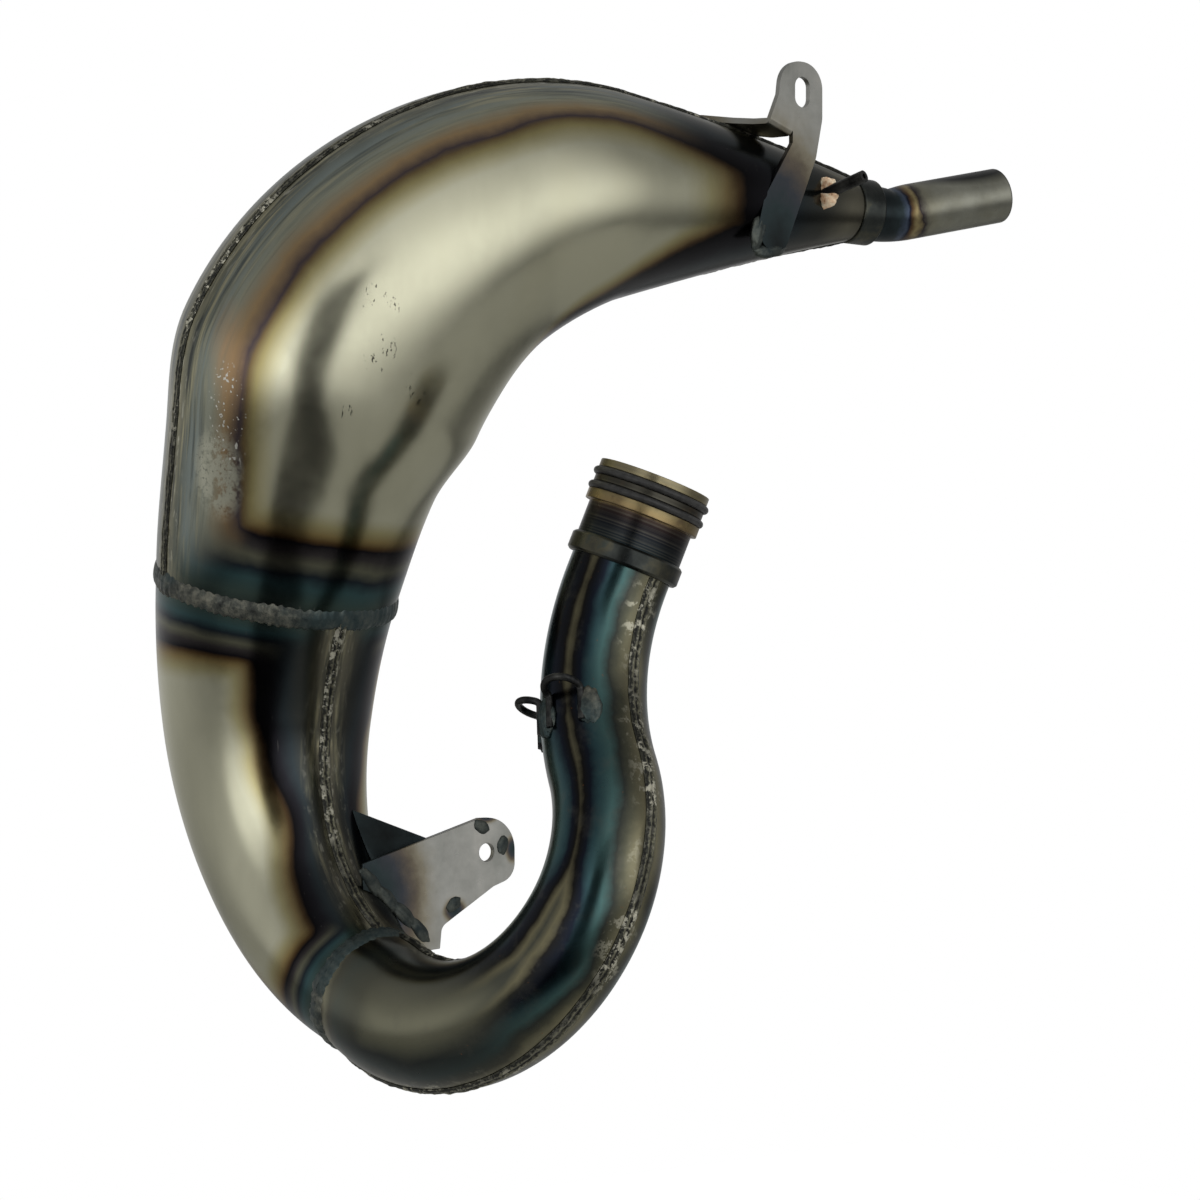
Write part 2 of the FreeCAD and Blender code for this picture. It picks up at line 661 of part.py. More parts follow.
def make_rear_bracket():
    """One folded sheet: slotted ear, leg down to the inboard side, front leg folded onto the top."""
    ear, drop = "sizes.rear_ear_radius", "sizes.rear_leg_drop"
    lean, half = "sizes.rear_leg_lean", "sizes.rear_leg_width / 2"
    notch_x, notch_z = "-sizes.rear_notch_x", "-sizes.rear_notch_z"
    fold = "sizes.rear_fold_length"
    fold_x = f"{notch_x} + {fold} * cos(sizes.rear_fold_turn)"
    fold_z = f"{notch_z} + {fold} * sin(sizes.rear_fold_turn)"
    origin = Vector(value("sizes.rear_slot_x"), value("sizes.rear_back_y"), value("sizes.rear_slot_z"))
    place = Placement(origin, Rotation()) * UPRIGHT
    outline = [
        (f"-{ear}", "sizes.rear_ear_top"), (ear, "sizes.rear_ear_top"),
        (ear, "-12"), ("8.5", "-31"),
        (f"{half} - {lean}", f"10 - {drop}"), (f"{half} * 0.6 - {lean}", f"-{drop}"),
        (f"-{half} * 0.6 - {lean}", f"-{drop}"), (f"-{half} - {lean}", f"9 - {drop}"),
        (f"4 - {half} - {lean}", "-52"), (notch_x, f"{notch_z} - 6"),
        (notch_x, notch_z), (fold_x, fold_z), (f"-{ear} - 2", "-2"),
    ]
    ear_piece = sheet_piece(
        "rear_ear", place, outline, "sizes.rear_sheet",
        rounds=[((0, 1), f"{ear} - 0.1"), ((5, 6), "5"), ((2, 3), "12")],
    )
    corner = place * shift(value(notch_x), value(notch_z)) * turn(Z_AXIS, value("sizes.rear_fold_turn"))
    folded = corner * turn(X_AXIS, -value("sizes.rear_fold"))
    leg_outline = [
        ("0", "0"), ("1", "10"), ("7", "22"), ("17", "38"), ("29", "38"),
        ("20", "19"), ("16", "8"), (fold, "0"),
    ]
    leg = sheet_piece(
        "rear_front_leg", folded, leg_outline, "sizes.rear_sheet",
        rounds=[((1, 2), "8"), ((3, 4), "2.5")],
    )
    corner_rod = add("Part::Cylinder", "rear_fold_rod", Radius="sizes.rear_sheet", Height=fold)
    corner_rod.setExpression("Angle", "sizes.rear_fold")
    corner_rod.Placement = folded * turn(Y_AXIS, 90) * turn(Z_AXIS, 180)
    slot = make_slot(place)
    blank = fuse("rear_bracket_blank", [ear_piece, leg, corner_rod])
    space = fuse("rear_bracket_space", [belly_solid, slot, doc.getObject("belly_outer_seam_weld")])
    return cut("rear_bracket", blank, space)


def make_slot(place):
    """The upright slot through the ear."""
    width, length, reach = "sizes.rear_slot_width", "sizes.rear_slot_length", "sizes.rear_sheet + 4"
    ends = []
    for name, side in (("top", 1), ("bottom", -1)):
        end = add("Part::Cylinder", f"slot_{name}", Radius=f"{width} / 2", Height=reach)
        end.Placement = place * shift(y=side * value(f"({length} - {width}) / 2"), z=-2)
        ends.append(end)
    middle = add("Part::Box", "slot_middle", Length=width, Width=f"{length} - {width}", Height=reach)
    middle.Placement = place * shift(-value(width) / 2, -value(f"({length} - {width}) / 2"), -2)
    return fuse("rear_slot", ends + [middle])


def front_outline(reach):
    """Outline of a front sheet from the ear to a distance in front of the hole."""
    ear = "sizes.front_ear_radius"
    return [
        (f"-{reach}", "-sizes.front_foot_top"), ("-4", ear), (ear, ear), (ear, f"-{ear} + 4"),
        ("4", f"-{ear}"), ("-sizes.front_heel_x", "-sizes.front_heel_z"),
        ("-sizes.front_heel_x - 1", "-sizes.front_heel_z - 10"), (f"-{reach}", "-sizes.front_foot_low"),
    ]


def make_front_bracket():
    """Two thin sheets, face to face at the ear; the outboard one is folded away to straddle the pipe."""
    hole = [("0", "0", "sizes.front_hole_size / 2")]
    thick = value("sizes.front_sheet")
    middle = Vector(value("sizes.front_hole_x"), value("sizes.front_back_y"), value("sizes.front_hole_z"))
    place = Placement(middle, Rotation()) * UPRIGHT
    rounds = [((2,), "sizes.front_ear_radius - 0.5"), ((3,), "9"), ((5,), "5")]
    near = sheet_piece(
        "front_near_blank", place, front_outline("sizes.front_foot_reach"), "sizes.front_sheet",
        hole, rounds,
    )
    cut("front_bracket_near_sheet", near, duct_solid)
    ear = "sizes.front_ear_radius"
    fold_x = "-sizes.front_fold_x"
    far_outline = [
        (fold_x, f"{ear} * 0.5"), ("-4", ear), (ear, ear), (ear, f"-{ear} + 4"), ("4", f"-{ear}"),
        (fold_x, "-sizes.front_heel_z - 4"),
    ]
    far_place = place * shift(z=-thick)
    far_ear = sheet_piece(
        "front_far_ear", far_place, far_outline, "sizes.front_sheet", hole,
        [((2,), "sizes.front_ear_radius - 0.5"), ((3,), "9")],
    )
    hinge = far_place * shift(x=value(fold_x))
    folded = hinge * turn(Y_AXIS, -value("sizes.front_fold"))
    leg = sheet_piece(
        "front_far_leg", folded,
        [("0", f"{ear} * 0.5"), ("0", "-sizes.front_heel_z - 4"),
         ("-sizes.front_leg_reach", "-sizes.front_heel_z + 6"), ("-sizes.front_leg_reach", "21")],
        "sizes.front_sheet",
    )
    rod = add(
        "Part::Cylinder", "front_fold_rod",
        Radius="sizes.front_sheet", Height=f"{ear} * 0.5 + sizes.front_heel_z + 4",
    )
    rod.setExpression("Angle", "sizes.front_fold")
    lower = folded * shift(y=-value("sizes.front_heel_z + 4"))
    rod.Placement = lower * turn(X_AXIS, -90) * turn(Z_AXIS, -90)
    blank = fuse("front_far_blank", [far_ear, leg, rod])
    cut("front_bracket_far_sheet", blank, duct_solid)


make_rear_bracket()
make_front_bracket()


# Spring hooks

def rod_path(name, edges, place):
    """The centre line of a bent rod."""
    path = doc.addObject("Part::Feature", name)
    path.Label = name
    path.Shape = Part.Wire([edge.toShape() for edge in edges])
    path.Placement = place
    return path


def make_hook(name, around):
    """A bent rod with two legs welded to the header and an arch that stands off it, with their welds."""
    along = value("sizes.hook_distance") - value("sizes.header_run_1")
    share = along / value("sizes.header_run_2")
    place = travel(header_start, value("sizes.header_run_1"), 0)
    place = travel(place, along, value("sizes.header_bend_2") * share) * turn(Z_AXIS, value(around))
    # Local x now points away from the header, y across the legs and z down the header
    span, leg, elbow = (value(f"sizes.hook_{size}") for size in ("half_span", "leg", "elbow"))
    lean = radians(value("sizes.hook_lean"))
    bend = pi / 2 - lean
    surface = value(width_text("header", HEADER_RUNS, 2, share)) / 2 + value("sizes.hook_rod / 2 - sizes.hook_sink")
    foot = (surface ** 2 - span ** 2) ** 0.5

    def on_elbow(angle, side):
        return Vector(foot + elbow * (1 - cos(angle)), side * span, -elbow * sin(angle))

    top = on_elbow(bend, 0) + Vector(cos(lean), 0, -sin(lean)) * span
    edges = [Part.LineSegment(Vector(foot, span, leg), Vector(foot, span, 0))]
    edges.append(Part.Arc(*(on_elbow(angle, 1) for angle in (0, bend / 2, bend))))
    edges.append(Part.Arc(on_elbow(bend, 1), top, on_elbow(bend, -1)))
    edges.append(Part.Arc(*(on_elbow(angle, -1) for angle in (bend, bend / 2, 0))))
    edges.append(Part.LineSegment(Vector(foot, -span, 0), Vector(foot, -span, leg)))
    path = rod_path(f"{name}_path", edges, place)
    profile = add("Part::Circle", f"{name}_profile", Radius="sizes.hook_rod / 2")
    profile.Placement = place * shift(foot, span, leg)
    rod = add("Part::Sweep", f"{name}_rod")
    rod.Sections = [profile]
    rod.Spine = (path, [f"Edge{number}" for number in range(1, len(edges) + 1)])
    rod.Solid = True
    cut(name, rod, header_solid)
    puddles = []
    for side in (1, -1):
        puddle = add(
            "Part::Ellipsoid", f"{name}_puddle_{'left' if side > 0 else 'right'}",
            Radius1="sizes.puddle_thick", Radius2="sizes.puddle_length / 2", Radius3="sizes.puddle_width / 2",
        )
        reach = degrees(asin((span + value("sizes.hook_rod")) / surface)) * side
        puddle.Placement = place * turn(Z_AXIS, reach) * shift(x=surface - 1, z=leg * 0.55) * turn(Y_AXIS, 90)
        puddles.append(puddle)
    return rod, puddles


def make_hooks():
    """Both hooks and the four puddles of weld that hold their legs."""
    near_rod, near_puddles = make_hook("spring_hook_near", "sizes.hook_near_turn")
    far_rod, far_puddles = make_hook("spring_hook_far", "sizes.hook_far_turn")
    space = fuse("hook_weld_space", [header_solid, near_rod, far_rod])
    cut("spring_hook_welds", fuse("hook_puddles", near_puddles + far_puddles), space)


make_hooks()
doc.recompute()

NODES = [
    "spigot", "o_ring_outer", "o_ring_inner", "spigot_collar",
    "header_front_half", "header_rear_half", "header_inner_seam_weld", "header_outer_seam_weld",
    "lower_joint_weld",
    "cone_front_half", "cone_rear_half", "cone_inner_seam_weld", "cone_outer_seam_weld",
    "belly_joint_weld",
    "belly_inboard_half", "belly_outboard_half", "belly_inner_seam_weld", "belly_outer_seam_weld",
    "stinger_ring", "stinger", "pressure_tap", "tap_braze",
    "rear_bracket", "front_bracket_near_sheet", "front_bracket_far_sheet",
    "spring_hook_near", "spring_hook_far", "spring_hook_welds",
]

# Checks before anything is written
for thing in doc.Objects:
    if "Invalid" in thing.State or "Error" in thing.State:
        raise RuntimeError(f"{thing.Label} failed: {thing.State}")
for node in NODES:
    shape = doc.getObject(node).Shape
    if shape.isNull() or not shape.isValid() or not shape.Solids:
        raise RuntimeError(f"{node} has no valid shape")
    print(node, len(shape.Solids), "solids", round(shape.Volume), "mm3")

os.makedirs("parts", exist_ok=True)
for node in NODES:
    doc.getObject(node).Shape.exportStep(f"parts/{node}.step")
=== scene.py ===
import math

import bmesh
import bpy
from mathutils import Matrix, Vector, noise


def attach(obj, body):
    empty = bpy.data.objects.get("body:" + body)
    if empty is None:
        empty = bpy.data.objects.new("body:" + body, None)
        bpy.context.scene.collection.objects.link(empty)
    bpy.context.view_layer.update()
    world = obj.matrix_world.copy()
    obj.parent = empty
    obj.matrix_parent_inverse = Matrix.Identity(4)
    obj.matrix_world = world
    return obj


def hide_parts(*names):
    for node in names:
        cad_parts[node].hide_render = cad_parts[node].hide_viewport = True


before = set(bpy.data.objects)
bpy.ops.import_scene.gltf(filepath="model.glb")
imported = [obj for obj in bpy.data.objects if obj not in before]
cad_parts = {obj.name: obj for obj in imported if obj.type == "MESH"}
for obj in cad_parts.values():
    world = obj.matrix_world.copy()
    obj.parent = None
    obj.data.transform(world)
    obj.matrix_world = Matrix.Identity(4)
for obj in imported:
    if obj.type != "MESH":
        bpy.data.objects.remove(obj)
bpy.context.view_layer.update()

MM = 0.001
WALL = 1.2 * MM

# Lengths and bends of the runs, and the outer widths at their ends, in millimetres and degrees
HEADER_RUNS = ((10, 0), (90.5, -47), (67.5, 55.5), (128, 88.5), (18, 0))
HEADER_WIDTHS = (45, 45, 47.5, 50, 59, 57.5)
CONE_RUNS = ((77, 37), (77, 33), (63, 16.5))
CONE_WIDTHS = (57.5, 76.5, 97, 112)
BELLY_RUNS = ((59, 6.5), (44.5, 10.5), (105, 45.5), (61, 21.5), (142, 6))
BELLY_WIDTHS = (112, 130, 152, 125, 100, 28)
BELLY_FLAT = (0, 0.5, 1, 0.5, 0, 0)
BELLY_FLATNESS = 0.86
ROUND = (0, 0, 0, 0, 0, 0)
HEADER_CLOCK = -98.5
CONE_CLOCK = -18
BELLY_CLOCK = 79.5
STINGER_CLOCK = -20
SPIGOT_LENGTH = 37


# Placements along the duct: local z runs along it and local x towards the inside of the bend

def turn(axis, angle):
    """A rotation about a local axis, in degrees."""
    return Matrix.Rotation(math.radians(angle), 4, axis)


def shift(x=0.0, y=0.0, z=0.0):
    """A move along the local axes, in millimetres."""
    return Matrix.Translation((x * MM, y * MM, z * MM))


def travel(place, length, bend):
    """The placement at the end of an arc."""
    if abs(bend) < 0.001:
        return place @ shift(z=length)
    angle = math.radians(bend)
    radius = length / angle
    return place @ shift(x=radius * (1 - math.cos(angle)), z=radius * math.sin(angle)) @ turn("Y", bend)


def smooth(share):
    """Eases from 0 to 1."""
    share = min(max(share, 0.0), 1.0)
    return share * share * (3 - 2 * share)


class Duct:
    """One stamped length of the duct."""

    def __init__(self, start, runs, widths, flat=ROUND):
        self.start = start
        self.runs = runs
        self.widths = widths
        self.flat = flat
        self.length = sum(length for length, bend in runs)
        self.end = self.at(self.length)[0]

    def slope(self, end):
        """Change of width per millimetre at the end of a run."""
        before, after = max(end - 1, 0), min(end + 1, len(self.runs))
        reach = sum(length for length, bend in self.runs[before:after])
        return (self.widths[after] - self.widths[before]) / reach

    def at(self, along):
        """Placement, half width and half thickness at a distance from the start."""
        place = self.start
        passed = 0.0
        for number, (length, bend) in enumerate(self.runs):
            if along <= passed + length or number == len(self.runs) - 1:
                break
            place = travel(place, length, bend)
            passed += length
        share = (along - passed) / length
        rise = share * share * (3 - 2 * share)
        leave = share * (1 - share) ** 2 * length * self.slope(number)
        arrive = share * share * (share - 1) * length * self.slope(number + 1)
        width = (1 - rise) * self.widths[number] + rise * self.widths[number + 1] + leave + arrive
        flat = self.flat[number] + (self.flat[number + 1] - self.flat[number]) * rise
        thickness = width * (1 - flat * (1 - BELLY_FLATNESS))
        return travel(place, length * share, bend * share), width / 2 * MM, thickness / 2 * MM

    def pull(self, along):
        """How far the inside of the bend is drawn in."""
        if not any(self.flat):
            return 0.0
        middle, reach, depth = BELLY_PULL
        return depth * MM * math.exp(-((along - middle) / reach) ** 2)

    def marks(self, first, last, step):
        """Even distances from first to last, a step or less apart."""
        count = math.ceil((last - first) / step)
        return [first + (last - first) * number / count for number in range(count + 1)]


mouth = turn("Y", 18.5) @ turn("X", 190.5) @ turn("Z", HEADER_CLOCK)
header = Duct(mouth @ shift(z=SPIGOT_LENGTH), HEADER_RUNS, HEADER_WIDTHS)
cone = Duct(header.end @ turn("Z", CONE_CLOCK), CONE_RUNS, CONE_WIDTHS)
belly = Duct(cone.end @ turn("Z", BELLY_CLOCK), BELLY_RUNS, BELLY_WIDTHS, BELLY_FLAT)
stinger_start = belly.end @ turn("Z", STINGER_CLOCK)


# Meshes

def finished(name, mesh, material, node=None, soften=35):
    """Turns the mesh into a piece that rides on the pipe and stands for its node."""
    data = bpy.data.meshes.new(name)
    mesh.to_mesh(data)
    mesh.free()
    data.materials.append(material)
    for polygon in data.polygons:
        polygon.use_smooth = True
    data.set_sharp_from_angle(angle=math.radians(soften))
    piece = bpy.data.objects.new(name, data)
    bpy.context.scene.collection.objects.link(piece)
    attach(piece, "root")
    if node:
        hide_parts(node)
    return piece


def carried(steps, marks, put):
    """A row of steps edges carried along the marks. put(mark, share) gives a vertex its place and values."""
    mesh = bmesh.new()
    share = mesh.verts.layers.float.new("share")
    layers = {name: mesh.verts.layers.float.new(name) for name in ("tint", "light", "blue", "along", "seam")}
    start = mesh.verts.new((0, 0, 0))
    bmesh.ops.spin(
        mesh, geom=[start], cent=(0, 0, 0), axis=(0, 0, 1), angle=0, dvec=(1, 0, 0), steps=steps
    )
    for vert in mesh.verts:
        vert[share] = vert.co.x / steps
    row_verts = list(mesh.verts)
    row_edges = list(mesh.edges)
    for number, mark in enumerate(marks):
        if number:
            grown = bmesh.ops.extrude_edge_only(mesh, edges=row_edges)["geom"]
            row_verts = [item for item in grown if isinstance(item, bmesh.types.BMVert)]
            fresh = set(row_verts)
            row_edges = [
                item for item in grown
                if isinstance(item, bmesh.types.BMEdge) and fresh.issuperset(item.verts)
            ]
        for vert in row_verts:
            vert.co, values = put(mark, vert[share])
            for name, number_value in values.items():
                vert[layers[name]] = number_value
    return mesh


def outward(mesh):
    """Merges what meets and turns the faces outwards."""
    bmesh.ops.remove_doubles(mesh, verts=mesh.verts, dist=0.00001)
    bmesh.ops.recalc_face_normals(mesh, faces=mesh.faces)
    return mesh


def closed(mesh):
    """Merges what meets, fills the open ends and turns the faces outwards."""
    bmesh.ops.remove_doubles(mesh, verts=mesh.verts, dist=0.00001)
    bmesh.ops.holes_fill(mesh, edges=[edge for edge in mesh.edges if edge.is_boundary], sides=0)
    bmesh.ops.recalc_face_normals(mesh, faces=mesh.faces)
    return mesh


def blend_low(values, softness=0.12):
    """The lowest of several values, with the corners between them rounded."""
    low = min(values)
    total = sum(math.exp((low - value) / softness) for value in values)
    return low - softness * math.log(total)


def between(along, points):
    """A value read off a line through points of (distance, value)."""
    if along <= points[0][0]:
        return points[0][1]
    for (near, low), (far, high) in zip(points, points[1:]):
        if along <= far:
            return low + (high - low) * smooth((along - near) / (far - near))
    return points[-1][1]


# Reach of the heat's dark line from each weld, in millimetres, and width of the straw band beyond it
STRAW = 16.0
BELLY_OUTER_LINE = ((0, 48), (100, 46), (200, 43), (245, 36), (412, 38))
BELLY_INNER_LINE = ((0, 20), (150, 22), (240, 40), (300, 50))
# The belly is a little narrower inside its bend: distance, reach and depth
BELLY_PULL = (98, 42, 2.6)
CONE_INNER_LINE = ((0, 25), (50, 24), (90, 18), (135, 27), (165, 35), (217, 40))
CONE_OUTER_LINE = ((0, 25), (90, 20), (217, 30))


def tint(distance, reach, straw=STRAW):
    """0 on the weld, 0.5 on the dark line and 1 where the steel is bare."""
    if distance < reach:
        return 0.5 * distance / reach
    return 0.5 + 0.5 * (distance - reach) / straw


def heated(light, blue, brown):
    """Tint by the nearest weld, and the shares of the light and the blue colours in it."""
    nearest = blend_low((light, blue, brown), 0.05)
    share = smooth((min(blue, brown) - light) / 0.5 + 0.5)
    return nearest, share, smooth((brown - blue) / 0.4 + 0.5)


def belly_heat(along, inner, outer):
    rear = smooth((along - 250) / 60)
    seam = tint(outer, between(along, BELLY_OUTER_LINE))
    others = min(tint(inner, between(along, BELLY_INNER_LINE)), tint(belly.length - along, 84, 38))
    warmth, light, blue = heated(seam, tint(along, 33), others)
    return warmth, light * (1 - rear), blue


def cone_heat(along, inner, outer):
    return heated(2.0, min(tint(along, 20), tint(cone.length - along, 27)), min(
        tint(outer, between(along, CONE_OUTER_LINE)), tint(inner, between(along, CONE_INNER_LINE)),
    ))


def header_heat(along, inner, outer):
    warmth, light, blue = heated(2.0, tint(header.length - along, 30), min(tint(outer, 27), tint(inner, 38)))
    # The second value puts the lower header on the ramp that holds its painted highlight.
    return warmth, smooth((along - 185) / 50), blue


def half_shell(name, node, duct, side, steps, heat, material, trim=(0, 0)):
    """One stamped half: an arc carried along the duct, on its local +y or -y side."""

    def put(along, share):
        place, wide, thick = duct.at(along)
        angle = math.pi * share
        round_mm = (wide + thick) / 2 / MM
        inner, outer = angle * round_mm, (math.pi - angle) * round_mm
        level = wide * math.cos(angle) - duct.pull(along) * max(0.0, math.cos(angle)) ** 2
        spot = place @ Vector((level, side * thick * math.sin(angle), 0))
        warmth, light, blue = heat(along, inner, outer)
        return spot, {
            "tint": warmth, "light": light, "blue": blue, "along": along * MM,
            "seam": min(inner, outer) * MM,
        }

    mesh = carried(steps, duct.marks(trim[0], duct.length - trim[1], 3.0), put)
    place, wide, thick = duct.at(duct.length / 2)
    bmesh.ops.recalc_face_normals(mesh, faces=mesh.faces)
    middle = min(mesh.faces, key=lambda face: (face.calc_center_median() - place @ Vector((0, side * thick, 0))).length)
    if middle.normal.dot(place.to_3x3() @ Vector((0, side, 0))) < 0:
        bmesh.ops.reverse_faces(mesh, faces=mesh.faces)
    piece = finished(name, mesh, material, node)
    wall = piece.modifiers.new("wall", "SOLIDIFY")
    wall.thickness = WALL
    wall.offset = -1
    return piece


def seam_bead(name, node, duct, side, first, last, proud, half_width, material):
    """The weld along a seam: a rough double ridge with a groove, side 1 inside the bend and -1 outside."""

    def put(along, share):
        place, wide, thick = duct.at(along)
        base = place.translation
        share %= 1.0
        if share < 0.75:
            across = share / 0.75 * 2 - 1
            dome = math.sqrt(max(0.0, 1 - across * across))
            ridge = 0.72 + 0.28 * math.cos(2 * math.pi * across + math.pi)
            grain = noise.noise((base + Vector((across, side, 0)) * 0.0017) * 620)
            ripple = noise.noise((base + Vector((across, 0, 0)) * 0.001) * 260)
            lump = noise.noise(base * 75 + Vector((0, side * 3, 0)))
            lift = (0.12 + dome * ridge * (0.8 + 0.2 * grain + 0.3 * ripple + 0.35 * lump)) * proud
        else:
            across = 1 - (share - 0.75) / 0.25 * 2
            lift = -0.5
        wander = noise.noise(base * 90 + Vector((side, 0, 0))) * 0.35
        angle = (across * half_width + wander) * MM / thick
        wide -= duct.pull(along) if side > 0 else 0
        spot = Vector((side * (wide + lift * MM) * math.cos(angle), (thick + lift * MM) * math.sin(angle), 0))
        return place @ spot, {"along": along * MM, "seam": across, "tint": lift}

    marks = duct.marks(first, duct.length - last, 0.9)
    return finished(name, closed(carried(16, marks, put)), material, node, soften=60)


def ring_weld(name, node, duct, radius, sink, material, seed):
    """A lumpy ring weld round the duct's start."""
    place, wide, thick = duct.at(0)

    def put(angle, share):
        round_turn = 2 * math.pi * share
        direction = Vector((math.cos(angle), math.sin(angle), 0))
        lumps = noise.noise(direction * 5 + Vector((seed, 0, 0))) * 0.5
        ripple = math.sin(angle * wide / MM * 1.5 + 2 * noise.noise(direction * 9)) * 0.22
        grain = noise.noise((direction * wide + Vector((0, 0, 0.003 * share))) * 480) * 0.35
        near_seam = max(0.0, 1 - abs(math.sin(angle)) * wide / MM / 9)
        size = radius + lumps + ripple + grain + 0.6 * near_seam
        slide = noise.noise(direction * 3 + Vector((0, seed, 0))) * 0.8
        out = wide / MM - sink + size * 0.62 * math.cos(round_turn)
        spot = direction * out * MM
        spot.z = (slide + size * 1.75 * math.sin(round_turn)) * MM
        return place @ spot, {"along": angle, "seam": near_seam, "tint": size / radius}

    count = math.ceil(2 * math.pi * wide / MM / 0.9)
    marks = [2 * math.pi * number / count for number in range(count)] + [0.0]
    return finished(name, outward(carried(18, marks, put)), material, node, soften=70)


def turned(name, node, place, profile, material, bevel=0.25):
    """A turned piece: a closed profile of radius and distance, spun about the local z axis."""
    mesh = bmesh.new()
    corners = [mesh.verts.new(place @ Vector((radius * MM, 0, along * MM))) for radius, along in profile]
    edges = [mesh.edges.new((corner, corners[number - 1])) for number, corner in enumerate(corners)]
    axis = place.to_3x3() @ Vector((0, 0, 1))
    bmesh.ops.spin(
        mesh, geom=corners + edges, cent=place.translation, axis=axis, angle=2 * math.pi,
        steps=128, use_merge=True,
    )
    piece = finished(name, outward(mesh), material, node)
    rim = piece.modifiers.new("rims", "BEVEL")
    rim.width = bevel * MM
    rim.segments = 3
    rim.limit_method = "ANGLE"
    rim.angle_limit = math.radians(25)
    return piece


def cord_ring(name, node, place, radius, size, material):
    """A rubber ring."""
    mesh = bmesh.new()
    circle = bmesh.ops.create_circle(mesh, segments=20, radius=size * MM)["verts"]
    bmesh.ops.rotate(mesh, verts=circle, cent=(0, 0, 0), matrix=Matrix.Rotation(math.pi / 2, 3, "X"))
    bmesh.ops.translate(mesh, verts=circle, vec=(radius * MM, 0, 0))
    bmesh.ops.transform(mesh, verts=circle, matrix=place)
    axis = place.to_3x3() @ Vector((0, 0, 1))
    bmesh.ops.spin(
        mesh, geom=list(mesh.verts) + list(mesh.edges), cent=place.translation, axis=axis,
        angle=2 * math.pi, steps=128, use_merge=True,
    )
    return finished(name, outward(mesh), material, node)


def blob(mesh, place, radii, rough, seed, power=1.0):
    """A lump of weld: a ball pulled to its three radii and roughened."""
    made = bmesh.ops.create_icosphere(mesh, subdivisions=4, radius=1.0)["verts"]
    for vert in made:
        point = vert.co.copy()
        rings = math.sin(point.y * radii[1] * 2.2 + 1.5 * point.x) * 0.05 * power
        lump = noise.noise(point * 1.3 + Vector((seed, 0, 0))) * 0.22
        grain = noise.noise(point * 5 + Vector((0, seed, 0))) * 0.07
        point *= 1 + rough * (rings + lump + grain)
        vert.co = place @ Vector(size * radius * MM for size, radius in zip(point, radii))
    return made


def fitted(name, node, material, edge=0.0, soften=30):
    """A merged copy of the node, with its sharp edges eased."""
    mesh = bmesh.new()
    mesh.from_mesh(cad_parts[node].data)
    bmesh.ops.remove_doubles(mesh, verts=mesh.verts, dist=0.000002)
    bmesh.ops.dissolve_limit(mesh, angle_limit=math.radians(0.5), verts=mesh.verts, edges=mesh.edges)
    piece = finished(name, mesh, material, node, soften)
    if edge:
        ease = piece.modifiers.new("edges", "BEVEL")
        ease.width = edge * MM
        ease.segments = 2
        ease.limit_method = "ANGLE"
        ease.angle_limit = math.radians(40)
    return piece


# Finishes

